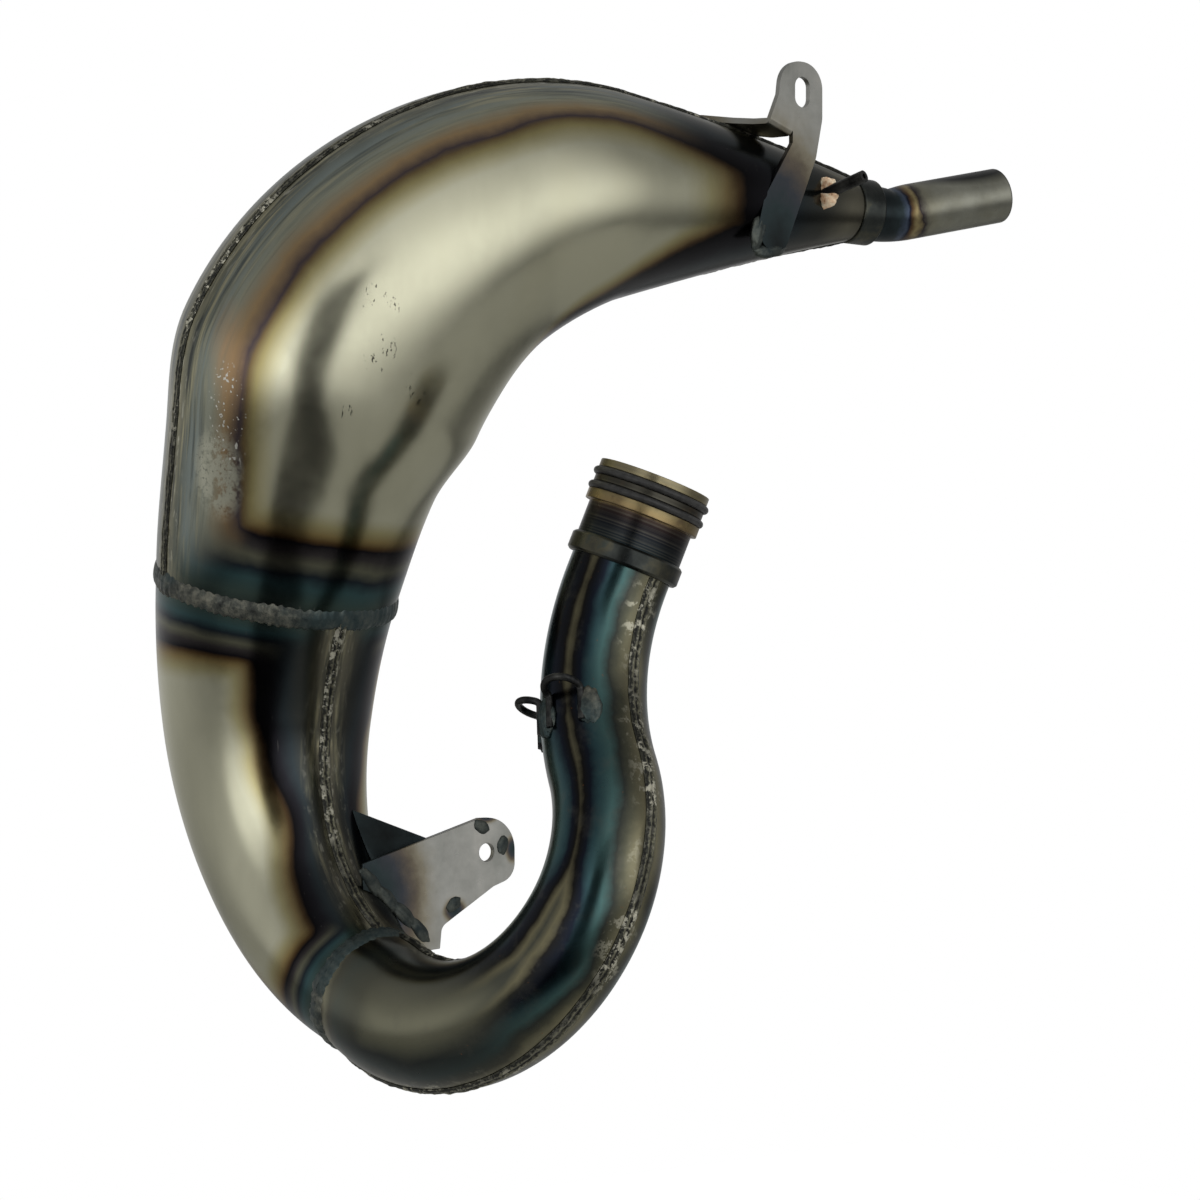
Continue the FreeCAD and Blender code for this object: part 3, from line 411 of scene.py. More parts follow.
class Finish:
    """A material while its nodes are laid."""

    def __init__(self, name, metallic, roughness):
        self.material = bpy.data.materials.new(name)
        self.material.use_nodes = True
        self.tree = self.material.node_tree
        self.shader = self.tree.nodes["Principled BSDF"]
        self.shader.inputs["Metallic"].default_value = metallic
        self.shader.inputs["Roughness"].default_value = roughness
        self.place = self.node("ShaderNodeTexCoord").outputs["Object"]

    def node(self, kind, **settings):
        made = self.tree.nodes.new(kind)
        for key, setting in settings.items():
            setattr(made, key, setting)
        return made

    def link(self, source, socket):
        self.tree.links.new(source, socket)

    def value(self, name):
        """A value that the piece carries on its vertices."""
        return self.node("ShaderNodeAttribute", attribute_name=name).outputs["Fac"]

    def math(self, operation, first, second=0.0, third=0.0, clamp=False):
        """A sum on numbers or sockets."""
        made = self.node("ShaderNodeMath", operation=operation, use_clamp=clamp)
        for socket, source in zip(made.inputs, (first, second, third)):
            if isinstance(source, (int, float)):
                socket.default_value = source
            else:
                self.link(source, socket)
        return made.outputs[0]

    def grain(self, scale, detail=3.0, rough=0.55, stretch=(1, 1, 1), turned_by=(0, 0, 0), warp=0.0):
        """Noise between 0 and 1 on the object's coordinates."""
        mapping = self.node("ShaderNodeMapping")
        mapping.inputs["Scale"].default_value = stretch
        mapping.inputs["Rotation"].default_value = [math.radians(angle) for angle in turned_by]
        self.link(self.place, mapping.inputs["Vector"])
        made = self.node("ShaderNodeTexNoise")
        made.inputs["Scale"].default_value = scale
        made.inputs["Detail"].default_value = detail
        made.inputs["Roughness"].default_value = rough
        made.inputs["Distortion"].default_value = warp
        self.link(mapping.outputs[0], made.inputs["Vector"])
        return made.outputs["Fac"]

    def strip(self, along_scale, across_scale, detail):
        """Noise between 0 and 1 that is drawn out along the nearest seam."""
        joined = self.node("ShaderNodeCombineXYZ")
        self.link(self.math("MULTIPLY", self.value("along"), along_scale), joined.inputs[0])
        self.link(self.math("MULTIPLY", self.value("seam"), across_scale), joined.inputs[1])
        made = self.node("ShaderNodeTexNoise")
        made.inputs["Scale"].default_value = 1.0
        made.inputs["Detail"].default_value = detail
        made.inputs["Roughness"].default_value = 0.6
        self.link(joined.outputs[0], made.inputs["Vector"])
        return made.outputs["Fac"]

    def spot(self, centre, radii):
        """1 at a centre in millimetres, fading to 0 at the radii."""
        mapping = self.node("ShaderNodeMapping", vector_type="TEXTURE")
        mapping.inputs["Location"].default_value = [size * MM for size in centre]
        mapping.inputs["Scale"].default_value = [size * MM for size in radii]
        self.link(self.place, mapping.inputs["Vector"])
        made = self.node("ShaderNodeTexGradient", gradient_type="SPHERICAL")
        self.link(mapping.outputs[0], made.inputs[0])
        return made.outputs["Fac"]

    def fade(self, source, low, high, out_low=0.0, out_high=1.0):
        """Maps low..high of a source to out_low..out_high, clamped."""
        made = self.node("ShaderNodeMapRange", clamp=True)
        for key, number in (
            ("From Min", low), ("From Max", high), ("To Min", out_low), ("To Max", out_high)
        ):
            made.inputs[key].default_value = number
        self.link(source, made.inputs["Value"])
        return made.outputs["Result"]

    def ramp(self, source, stops):
        """Colours read off a ramp of (place, colour)."""
        made = self.node("ShaderNodeValToRGB")
        line = made.color_ramp.elements
        while len(line) < len(stops):
            line.new(1.0)
        for element, (where, colour) in zip(line, stops):
            element.position = where
            element.color = (*colour, 1.0)
        self.link(source, made.inputs["Fac"])
        return made.outputs["Color"]

    def mix(self, factor, first, second, blend="MIX"):
        """One colour over another."""
        made = self.node("ShaderNodeMix", data_type="RGBA", blend_type=blend)
        for socket, source in zip((made.inputs[0], made.inputs[6], made.inputs[7]), (factor, first, second)):
            if isinstance(source, tuple):
                socket.default_value = (*source, 1.0)
            elif isinstance(source, (int, float)):
                socket.default_value = source
            else:
                self.link(source, socket)
        return made.outputs[2]

    def bump(self, height, strength, distance, under=None):
        """Relief in the surface's normals."""
        made = self.node("ShaderNodeBump")
        made.inputs["Strength"].default_value = strength
        made.inputs["Distance"].default_value = distance * MM
        self.link(height, made.inputs["Height"])
        if under:
            self.link(under, made.inputs["Normal"])
        return made.outputs["Normal"]

    def done(self, colour, roughness=None, normal=None):
        """Links colour, roughness and normal to the shader."""
        self.link(colour, self.shader.inputs["Base Color"])
        if roughness:
            self.link(roughness, self.shader.inputs["Roughness"])
        if normal:
            self.link(normal, self.shader.inputs["Normal"])
        return self.material


BARE_STEEL = (0.56, 0.55, 0.41)
# Colours from the weld to the bare steel: beside the belly's outer seam, other seams and the ring welds
LIGHT_RAMP = (
    (0.00, (0.06, 0.06, 0.05)), (0.04, (0.30, 0.28, 0.18)), (0.10, (0.14, 0.15, 0.12)),
    (0.20, (0.26, 0.30, 0.28)), (0.32, (0.36, 0.37, 0.29)), (0.42, (0.40, 0.28, 0.15)),
    (0.50, (0.09, 0.07, 0.075)), (0.56, (0.20, 0.145, 0.07)), (0.68, (0.37, 0.32, 0.15)),
    (0.85, (0.50, 0.47, 0.30)), (1.00, BARE_STEEL),
)
BROWN_RAMP = (
    (0.00, (0.06, 0.055, 0.045)), (0.08, (0.17, 0.16, 0.12)), (0.18, (0.06, 0.062, 0.055)),
    (0.30, (0.035, 0.045, 0.050)), (0.40, (0.020, 0.020, 0.024)), (0.50, (0.010, 0.009, 0.010)),
    (0.57, (0.08, 0.05, 0.025)), (0.67, (0.25, 0.19, 0.09)), (0.80, (0.41, 0.37, 0.20)),
    (0.92, (0.51, 0.49, 0.34)), (1.00, BARE_STEEL),
)
BLUE_RAMP = (
    (0.00, (0.035, 0.04, 0.035)), (0.10, (0.06, 0.09, 0.08)), (0.20, (0.050, 0.100, 0.105)),
    (0.28, (0.020, 0.028, 0.036)), (0.36, (0.14, 0.14, 0.10)), (0.43, (0.05, 0.045, 0.045)),
    (0.50, (0.010, 0.009, 0.012)), (0.56, (0.10, 0.06, 0.025)), (0.66, (0.28, 0.21, 0.09)),
    (0.80, (0.41, 0.37, 0.20)), (0.92, (0.51, 0.49, 0.34)), (1.00, BARE_STEEL),
)


# Scratched and specked places on the belly: centre and reach
BELLY_SCRATCHES = (
    ((-98, 78, 81), 9), ((-88, 74, 79), 7), ((-94, 78, 56), 12), ((-107, 88, 31), 8), ((-73, 78, 41), 10),
)


def sheet_finish(name):
    """Raw satin sheet with heat colours beside its welds, smears, specks and fine scratches."""
    finish = Finish(name, 1.0, 0.3)
    wander = finish.math("MULTIPLY", finish.math("SUBTRACT", finish.grain(30, 3, 0.5), 0.5), 0.11)
    ripple = finish.math("MULTIPLY", finish.math("SUBTRACT", finish.grain(240, 3, 0.6), 0.5), 0.018)
    heat = finish.math("ADD", finish.math("ADD", finish.value("tint"), wander), ripple)
    colour = finish.mix(finish.value("blue"), finish.ramp(heat, BROWN_RAMP), finish.ramp(heat, BLUE_RAMP))
    colour = finish.mix(finish.value("light"), colour, finish.ramp(heat, LIGHT_RAMP))
    smear = finish.grain(14, 5, 0.6, (1, 1, 0.4))
    colour = finish.mix(0.4, colour, finish.ramp(smear, (
        (0.30, (0.68, 0.68, 0.66)), (0.52, (1, 1, 1)), (0.72, (1.0, 0.98, 0.92)),
    )), "MULTIPLY")
    rub = finish.fade(finish.grain(420, 3, 0.7, (1, 1, 0.03), (0, 24, 20)), 0.68, 0.82)
    colour = finish.mix(finish.math("MULTIPLY", rub, 0.22), colour, (0.55, 0.53, 0.48))
    speck = finish.fade(finish.grain(900, 2, 0.5), 0.75, 0.79)
    sparse = finish.fade(finish.grain(60, 2, 0.5), 0.58, 0.72)
    colour = finish.mix(
        finish.math("MULTIPLY", finish.math("MULTIPLY", speck, sparse), 0.6), colour, (0.07, 0.06, 0.05)
    )
    # Streaks, grooves and flakes that follow the seams
    near = finish.fade(finish.value("seam"), 0.002, 0.013, 1.0, 0.0)
    wide = finish.math("MULTIPLY", finish.fade(finish.value("seam"), 0.012, 0.036, 1.0, 0.0), finish.value("light"))
    reach = finish.math("MAXIMUM", near, wide)
    streak = finish.fade(finish.strip(15, 230, 6), 0.45, 0.56)
    colour = finish.mix(
        finish.math("MULTIPLY", finish.math("MULTIPLY", streak, reach), 0.85), colour,
        finish.ramp(finish.strip(26, 330, 4), (
            (0.38, (0.04, 0.045, 0.045)), (0.48, (0.20, 0.20, 0.14)), (0.60, (0.48, 0.44, 0.28)),
        )),
    )
    flake = finish.fade(finish.strip(120, 420, 5), 0.58, 0.63)
    lit = finish.math("MULTIPLY", finish.math("MULTIPLY", flake, near), finish.fade(finish.value("light"), 0, 0.5, 0.4, 1))
    colour = finish.mix(finish.math("MULTIPLY", lit, 0.9), colour, (0.66, 0.64, 0.52))
    # A cream scaly patch, a copper streak and a spray of white dots low beside the belly's outer seam
    scale = finish.fade(finish.grain(150, 6, 0.7), 0.40, 0.52)
    patch = finish.fade(finish.spot((-146, 132, 2), (17, 17, 27)), 0.10, 0.45)
    colour = finish.mix(
        finish.math("MULTIPLY", finish.math("MULTIPLY", scale, patch), 0.9), colour,
        finish.ramp(finish.grain(600, 4, 0.7), ((0.34, (0.10, 0.10, 0.08)), (0.43, (0.58, 0.58, 0.46)))),
    )
    copper = finish.math("MULTIPLY", finish.spot((-146, 120, 55), (9, 12, 34)), 1.3, clamp=True)
    colour = finish.mix(finish.math("MULTIPLY", copper, finish.strip(30, 400, 4)), colour, (0.62, 0.40, 0.22))
    dot = finish.fade(finish.grain(560, 1, 0.4), 0.66, 0.69)
    spray = finish.fade(finish.spot((-144, 123, 26), (11, 14, 36)), 0.15, 0.40)
    colour = finish.mix(finish.math("MULTIPLY", dot, spray), colour, (0.85, 0.84, 0.76))
    for centre, size in BELLY_SCRATCHES:
        inside = finish.fade(finish.spot(centre, (size, size, size)), 0.15, 0.40)
        mark = finish.fade(finish.grain(380, 4, 0.7, (1, 1, 0.4), (0, size * 9, 20)), 0.60, 0.63)
        colour = finish.mix(finish.math("MULTIPLY", mark, inside), colour, (0.07, 0.065, 0.05))
    rough = finish.fade(finish.grain(60, 4, 0.6), 0.25, 0.8, 0.17, 0.27)
    fine = finish.grain(1500, 2, 0.6, (1, 1, 0.15))
    normal = finish.bump(fine, 0.05, 0.06, finish.bump(finish.grain(26, 2, 0.5), 0.08, 0.8))
    return finish.done(colour, rough, normal)


HEADER_RAMP = (
    (0.00, (0.08, 0.075, 0.05)), (0.08, (0.26, 0.24, 0.15)), (0.17, (0.10, 0.10, 0.07)),
    (0.23, (0.04, 0.045, 0.04)), (0.31, (0.07, 0.14, 0.135)), (0.40, (0.04, 0.085, 0.095)),
    (0.47, (0.014, 0.018, 0.028)), (0.56, (0.016, 0.015, 0.014)), (0.66, (0.22, 0.20, 0.12)),
    (0.76, (0.08, 0.085, 0.07)), (1.00, (0.04, 0.045, 0.04)),
)


# Colours on the lower header from the weld outwards: heat tints, then a painted khaki highlight where it lies far from
# both seams.
LOW_HEADER_TINT_AND_HIGHLIGHT = (
    (0.00, (0.08, 0.075, 0.05)), (0.08, (0.22, 0.21, 0.14)), (0.17, (0.07, 0.07, 0.055)),
    (0.30, (0.05, 0.065, 0.062)), (0.48, (0.035, 0.040, 0.038)), (0.70, (0.12, 0.12, 0.085)),
    (1.00, (0.22, 0.215, 0.15)),
)


def header_finish(name):
    """Sheet that the heat has blued all over, in clouds of teal, navy and khaki, with painted khaki highlights on the
    lower header.
    """
    finish = Finish(name, 1.0, 0.3)
    cloud = finish.math("MULTIPLY", finish.math("SUBTRACT", finish.grain(15, 2, 0.5, warp=0.4), 0.5), 0.46)
    ripple = finish.math("MULTIPLY", finish.math("SUBTRACT", finish.grain(160, 4, 0.65), 0.5), 0.06)
    heat = finish.math("ADD", finish.math("ADD", finish.value("tint"), cloud), ripple, clamp=True)
    # On the lower header the heat tints carry a painted khaki highlight far from the seams.
    colour = finish.mix(
        finish.value("light"), finish.ramp(heat, HEADER_RAMP), finish.ramp(heat, LOW_HEADER_TINT_AND_HIGHLIGHT)
    )
    # A pale khaki patch low on the header is a painted highlight.
    header_painted_highlight = finish.math("MULTIPLY", finish.spot((-104, 46, -226), (30, 75, 24)), 0.45)
    colour = finish.mix(header_painted_highlight, colour, (0.42, 0.41, 0.29))
    dust = finish.fade(finish.grain(75, 6, 0.7), 0.52, 0.78, 0.0, 0.32)
    colour = finish.mix(dust, colour, (0.15, 0.145, 0.12))
    chip = finish.fade(finish.grain(200, 6, 0.75), 0.54, 0.58)
    near = finish.fade(finish.value("seam"), 0.003, 0.011, 1.0, 0.0)
    patchy = finish.fade(finish.grain(26, 2, 0.5), 0.48, 0.58)
    chip = finish.math("MULTIPLY", finish.math("MULTIPLY", chip, near), patchy)
    colour = finish.mix(chip, colour, (0.60, 0.58, 0.46))
    rust = finish.fade(finish.grain(700, 2, 0.5), 0.75, 0.79)
    colour = finish.mix(finish.math("MULTIPLY", rust, 0.7), colour, (0.30, 0.12, 0.04))
    rough = finish.fade(finish.grain(70, 4, 0.6), 0.25, 0.8, 0.17, 0.30)
    fine = finish.grain(900, 3, 0.6)
    normal = finish.bump(fine, 0.07, 0.08, finish.bump(finish.grain(30, 2, 0.5), 0.12, 0.8))
    return finish.done(colour, rough, normal)


def weld_finish(name):
    """Rough bead with dark scale, grey-green ridges and cream flakes."""
    finish = Finish(name, 0.85, 0.5)
    scale = finish.grain(180, 6, 0.72)
    colour = finish.ramp(scale, (
        (0.30, (0.020, 0.022, 0.022)), (0.46, (0.075, 0.08, 0.07)), (0.58, (0.16, 0.16, 0.13)),
        (0.70, (0.26, 0.25, 0.20)), (0.84, (0.50, 0.48, 0.38)),
    ))
    tone = finish.grain(28, 3, 0.5)
    colour = finish.mix(finish.fade(tone, 0.45, 0.62, 0.0, 0.7), colour, (0.045, 0.075, 0.08))
    rough = finish.fade(finish.grain(200, 4, 0.7), 0.3, 0.75, 0.35, 0.62)
    normal = finish.bump(finish.grain(700, 4, 0.7), 0.6, 0.25)
    return finish.done(colour, rough, normal)


def bead_finish(name):
    """Seam bead: two cream ridges between dark grooves, broken by scale."""
    finish = Finish(name, 0.85, 0.5)
    wander = finish.math("MULTIPLY", finish.math("SUBTRACT", finish.grain(420, 5, 0.7), 0.5), 1.5)
    across = finish.math("ADD", finish.math("ABSOLUTE", finish.value("seam")), wander, clamp=True)
    colour = finish.ramp(across, (
        (0.00, (0.020, 0.021, 0.020)), (0.16, (0.05, 0.05, 0.04)), (0.32, (0.15, 0.145, 0.10)),
        (0.46, (0.26, 0.25, 0.18)), (0.58, (0.09, 0.09, 0.07)), (0.76, (0.018, 0.019, 0.020)),
        (1.00, (0.08, 0.08, 0.06)),
    ))
    chip = finish.fade(finish.grain(200, 6, 0.75), 0.53, 0.57)
    patchy = finish.fade(finish.grain(26, 2, 0.5), 0.46, 0.56, 0.15, 1.0)
    colour = finish.mix(finish.math("MULTIPLY", chip, patchy), colour, (0.60, 0.58, 0.47))
    tone = finish.fade(finish.grain(30, 3, 0.5), 0.46, 0.64, 0.0, 0.75)
    colour = finish.mix(tone, colour, finish.mix(0.5, colour, (0.03, 0.04, 0.042), "MULTIPLY"))
    rough = finish.fade(finish.grain(200, 4, 0.7), 0.3, 0.75, 0.32, 0.6)
    normal = finish.bump(finish.grain(700, 4, 0.7), 0.6, 0.25)
    return finish.done(colour, rough, normal)


def turned_finish(name):
    """Turned steel, straw on the lands and dark below."""
    finish = Finish(name, 1.0, 0.3)
    colour = finish.ramp(finish.grain(55, 5, 0.6), (
        (0.30, (0.025, 0.028, 0.028)), (0.48, (0.055, 0.06, 0.055)), (0.62, (0.11, 0.105, 0.075)),
        (0.75, (0.05, 0.075, 0.08)),
    ))
    rough = finish.fade(finish.grain(120, 4, 0.6), 0.3, 0.8, 0.24, 0.42)
    normal = finish.bump(finish.grain(600, 2, 0.5), 0.15, 0.1)
    return finish.done(colour, rough, normal)


def spigot_finish(name):
    """The spigot: gold lands with brown patches, dark grooves and a teal to purple sleeve."""
    finish = Finish(name, 1.0, 0.3)
    mapping = finish.node("ShaderNodeMapping")
    back = mouth.to_3x3().inverted().to_euler()
    mapping.inputs["Rotation"].default_value = back
    finish.link(finish.place, mapping.inputs["Vector"])
    split = finish.node("ShaderNodeSeparateXYZ")
    finish.link(mapping.outputs[0], split.inputs[0])
    wander = finish.math("MULTIPLY", finish.math("SUBTRACT", finish.grain(60, 4, 0.6), 0.5), 0.004)
    depth = finish.math("ADD", split.outputs["Z"], wander)
    colour = finish.ramp(finish.fade(depth, 0.0, 0.037), (
        (0.00, (0.30, 0.26, 0.16)), (0.10, (0.30, 0.26, 0.15)), (0.15, (0.06, 0.055, 0.045)),
        (0.34, (0.05, 0.05, 0.04)), (0.39, (0.32, 0.25, 0.12)), (0.47, (0.34, 0.25, 0.12)),
        (0.52, (0.05, 0.032, 0.025)), (0.62, (0.018, 0.015, 0.018)), (0.80, (0.014, 0.020, 0.026)),
        (1.00, (0.03, 0.038, 0.035)),
    ))
    patch = finish.math("MULTIPLY", finish.fade(finish.grain(70, 5, 0.65), 0.52, 0.68), finish.fade(
        split.outputs["Z"], 0.0175, 0.019, 0.8, 0.0))
    colour = finish.mix(patch, colour, (0.13, 0.085, 0.05))
    ring = finish.grain(1.0, 4, 0.6)
    lathe = ring.node.inputs["Vector"]
    spread = finish.node("ShaderNodeCombineXYZ")
    finish.link(finish.math("MULTIPLY", split.outputs["Z"], 900), spread.inputs[0])
    finish.link(spread.outputs[0], lathe)
    colour = finish.mix(finish.fade(ring, 0.45, 0.7, 0.0, 0.45), colour, (0.16, 0.15, 0.12))
    rough = finish.fade(finish.grain(130, 4, 0.6), 0.3, 0.8, 0.24, 0.42)
    normal = finish.bump(finish.grain(500, 3, 0.6), 0.15, 0.1)
    return finish.done(colour, rough, normal)


def tube_finish(name):
    """Light olive-grey drawn tube, tinted near its bend."""
    finish = Finish(name, 1.0, 0.3)
    heat = finish.math("ADD", finish.value("tint"), finish.math(
        "MULTIPLY", finish.math("SUBTRACT", finish.grain(55, 4, 0.6), 0.5), 0.5))
    colour = finish.ramp(heat, (
        (0.00, (0.025, 0.032, 0.034)), (0.15, (0.04, 0.055, 0.06)), (0.28, (0.10, 0.13, 0.19)),
        (0.36, (0.02, 0.022, 0.04)), (0.46, (0.16, 0.10, 0.05)), (0.58, (0.42, 0.34, 0.17)),
        (0.68, (0.05, 0.04, 0.045)), (0.82, (0.30, 0.29, 0.22)), (1.00, (0.36, 0.36, 0.30)),
    ))
    top = finish.fade(finish.spot((242, 72, 166), (64, 24, 17)), 0.18, 0.45)
    colour = finish.mix(top, colour, (0.03, 0.032, 0.03))
    smear = finish.fade(finish.grain(50, 5, 0.65), 0.35, 0.7, 0.75, 1.05)
    colour = finish.mix(1.0, colour, finish.ramp(smear, ((0.0, (0, 0, 0)), (1.0, (1, 1, 1)))), "MULTIPLY")
    rough = finish.fade(finish.grain(120, 4, 0.6), 0.3, 0.8, 0.26, 0.42)
    normal = finish.bump(finish.grain(900, 2, 0.5), 0.12, 0.06)
    return finish.done(colour, rough, normal)


def dark_finish(name, low, high):
    """Scaled dark steel between two tones."""
    finish = Finish(name, 0.9, 0.4)
    colour = finish.ramp(finish.grain(160, 5, 0.65), ((0.35, low), (0.75, high)))
    rough = finish.fade(finish.grain(200, 4, 0.6), 0.3, 0.8, 0.32, 0.55)
    normal = finish.bump(finish.grain(800, 3, 0.6), 0.3, 0.1)
    return finish.done(colour, rough, normal)


def bracket_finish(name, spots):
    """Light brushed sheet, darkened at spots of (centre, radii): heat tint round its feet and tacks, and painted shade
    where a spot covers a plate that lies in shadow.
    """
    finish = Finish(name, 1.0, 0.3)
    base = finish.ramp(finish.grain(45, 5, 0.6), (
        (0.30, (0.27, 0.275, 0.25)), (0.55, (0.40, 0.40, 0.37)), (0.75, (0.50, 0.49, 0.45)),
    ))
    brush = finish.grain(900, 2, 0.6, (1, 1, 0.04), (0, 8, 0))
    colour = finish.mix(finish.fade(brush, 0.45, 0.75, 0.0, 0.45), base, (0.40, 0.39, 0.36))
    heat = None
    for centre, radii in spots:
        mark = finish.spot(centre, radii)
        heat = mark if heat is None else finish.math("MAXIMUM", heat, mark)
    # Spots darken the sheet towards their centres: heat tint at the feet and tacks, painted shade on a plate in shadow.
    if heat is not None:
        wander = finish.math("MULTIPLY", finish.math("SUBTRACT", finish.grain(120, 4, 0.6), 0.5), 0.22)
        heat = finish.math("SUBTRACT", 1.0, finish.math("ADD", heat, wander), clamp=True)
        stain_and_painted_shade = finish.ramp(heat, (
            (0.00, (0.02, 0.022, 0.022)), (0.26, (0.04, 0.055, 0.058)), (0.42, (0.06, 0.065, 0.075)),
            (0.56, (0.13, 0.11, 0.09)), (0.72, (0.26, 0.225, 0.15)), (1.00, (0.40, 0.40, 0.37)),
        ))
        colour = finish.mix(finish.fade(heat, 0.62, 1.0, 1.0, 0.0), colour, stain_and_painted_shade)
    rough = finish.fade(finish.grain(160, 4, 0.6), 0.3, 0.8, 0.26, 0.42)
    normal = finish.bump(brush, 0.12, 0.06)
    return finish.done(colour, rough, normal)


def rubber_finish(name):
    """Black rubber."""
    finish = Finish(name, 0.0, 0.45)
    colour = finish.ramp(finish.grain(300, 3, 0.6), ((0.3, (0.010, 0.010, 0.010)), (0.8, (0.035, 0.034, 0.032))))
    return finish.done(colour, finish.fade(finish.grain(400, 3, 0.6), 0.3, 0.8, 0.36, 0.55),
                       finish.bump(finish.grain(1200, 2, 0.5), 0.1, 0.05))


def braze_finish(name):
    """Brazing metal, cream to copper with a brown middle."""
    finish = Finish(name, 0.3, 0.45)
    colour = finish.ramp(finish.grain(260, 5, 0.65), (
        (0.34, (0.30, 0.16, 0.08)), (0.44, (0.66, 0.42, 0.25)), (0.56, (0.82, 0.64, 0.44)),
        (0.68, (0.88, 0.80, 0.62)),
    ))
    rough = finish.fade(finish.grain(240, 4, 0.6), 0.3, 0.8, 0.34, 0.6)
    return finish.done(colour, rough, finish.bump(finish.grain(600, 4, 0.65), 0.5, 0.2))


belly_steel = sheet_finish("belly_sheet")
header_steel = header_finish("header_sheet")
weld = weld_finish("weld_bead")
bead = bead_finish("seam_bead")
puddle = dark_finish("weld_puddle", (0.03, 0.04, 0.042), (0.13, 0.14, 0.12))
turned_steel = turned_finish("turned_piece")
spigot_steel = spigot_finish("spigot_lands")
tube_steel = tube_finish("drawn_tube")
rod_steel = dark_finish("hook_rod", (0.015, 0.016, 0.017), (0.09, 0.09, 0.085))
tap_steel = dark_finish("tap_rod", (0.012, 0.012, 0.012), (0.07, 0.07, 0.065))
rubber = rubber_finish("cord_rubber")
braze = braze_finish("braze_metal")
rear_steel = bracket_finish("rear_bracket", (
    ((119, 60, 114), (46, 44, 78)), ((88, 88, 175), (26, 30, 22)),
))
front_steel = bracket_finish("front_bracket", (
    ((-12, 113.5, -153), (9, 7, 5)), ((3, 113.5, -169), (6, 7, 9)), ((-30, 113.5, -196), (9, 7, 8)),
    ((-76, 113, -190), (42, 24, 60)),
))
# One big spot over the whole far plate darkens it as painted shade for its shadowed inside.
far_plate_painted_shade = bracket_finish("far_bracket_painted_shade", (((-62, 122, -160), (70, 90, 80)),))


# The stamped halves

half_shell("header_rear_sheet", "header_rear_half", header, 1, 44, header_heat, header_steel)
half_shell("header_front_sheet", "header_front_half", header, -1, 44, header_heat, header_steel)
half_shell("cone_rear_sheet", "cone_rear_half", cone, 1, 56, cone_heat, belly_steel)
half_shell("cone_front_sheet", "cone_front_half", cone, -1, 56, cone_heat, belly_steel)
half_shell("belly_outboard_sheet", "belly_outboard_half", belly, 1, 72, belly_heat, belly_steel)
half_shell("belly_inboard_sheet", "belly_inboard_half", belly, -1, 72, belly_heat, belly_steel)


# Welds

COLLAR_GAP = 5.0
RING_GAP = 2.4
TAIL_GAP = 4.6
for duct_name, duct, first, last, proud, half_width in (
    ("header", header, COLLAR_GAP, RING_GAP, 1.7, 3.3), ("cone", cone, RING_GAP, RING_GAP, 1.5, 3.0),
    ("belly", belly, RING_GAP, TAIL_GAP, 1.4, 2.8),
):
    for side_name, side in (("inner", 1), ("outer", -1)):
        node_name = f"{duct_name}_{side_name}_seam_weld"
        seam_bead(f"{duct_name}_{side_name}_seam", node_name, duct, side, first, last, proud, half_width, bead)
ring_weld("lower_joint_ring", "lower_joint_weld", cone, 3.0, 0.7, weld, 3)
ring_weld("belly_joint_ring", "belly_joint_weld", belly, 3.0, 0.7, weld, 8)


# Spigot end

turned("spigot_body", "spigot", mouth, (
    (20.5, 0), (25.2, 0), (25.2, 3.5), (23.4, 3.5), (23.4, 7.1), (25.2, 7.1), (25.2, 10.1),
    (23.4, 10.1), (23.4, 13.7), (25.85, 13.7), (25.85, 18.2), (23.65, 18.2), (23.65, 37), (20.5, 37),
), spigot_steel)
cord_ring("outer_cord", "o_ring_outer", mouth @ shift(z=5.3), 25.1, 1.7, rubber)
cord_ring("inner_cord", "o_ring_inner", mouth @ shift(z=11.9), 25.1, 1.7, rubber)
turned("collar_band", "spigot_collar", mouth @ shift(z=33), (
    (23.65, 0), (24.4, 0), (25.5, 1.1), (25.5, 7.7), (24.4, 8.8), (22.4, 8.8), (22.4, 4), (23.65, 4),
), turned_steel)


# Stinger end

STINGER_RUNS = ((8, 0), (22, -14.5), (57, 0))
STINGER_LENGTH = 87.0


def stinger_at(along):
    """Placement at a distance along the stinger."""
    place = stinger_start
    for length, bend in STINGER_RUNS:
        if along <= length:
            return travel(place, along, bend * along / length)
        place = travel(place, length, bend)
        along -= length
    return place


def stinger_put(along, share):
    angle = 2 * math.pi * share
    place = stinger_at(along)
    # The bend's inside is on the local -x side, where the tube is creased
    inside = max(0.0, -math.cos(angle))
    near = math.exp(-((along - 19) / 7) ** 2)
    fold = math.exp(-((along - 19 - 2 * math.sin(angle)) / 1.6) ** 2)
    dent = (1.1 * near * inside ** 2 + 0.7 * fold * inside ** 3)
    radius = 13.75 - dent
    heat = 1.0 - 0.95 * math.exp(-(max(along - 11, 0) / 20) ** 1.9)
    spot = Vector((radius * MM * math.cos(angle), radius * MM * math.sin(angle), 0))
    return place @ spot, {"tint": heat, "along": along * MM, "seam": 0.0}


stinger_marks = [STINGER_LENGTH * number / 110 for number in range(111)]
tail = finished("stinger_tube", outward(carried(72, stinger_marks, stinger_put)), tube_steel, "stinger")
tail_wall = tail.modifiers.new("wall", "SOLIDIFY")
tail_wall.thickness = 1.5 * MM
tail_wall.offset = -1

turned("stinger_collar", "stinger_ring", belly.end @ shift(z=-5), (
    (15.0, 0), (15.6, 0), (16.2, 0.6), (16.2, 11.8), (15.0, 13), (13.8, 13), (13.8, 5.4),
), turned_steel)


# Brackets, hooks and tap

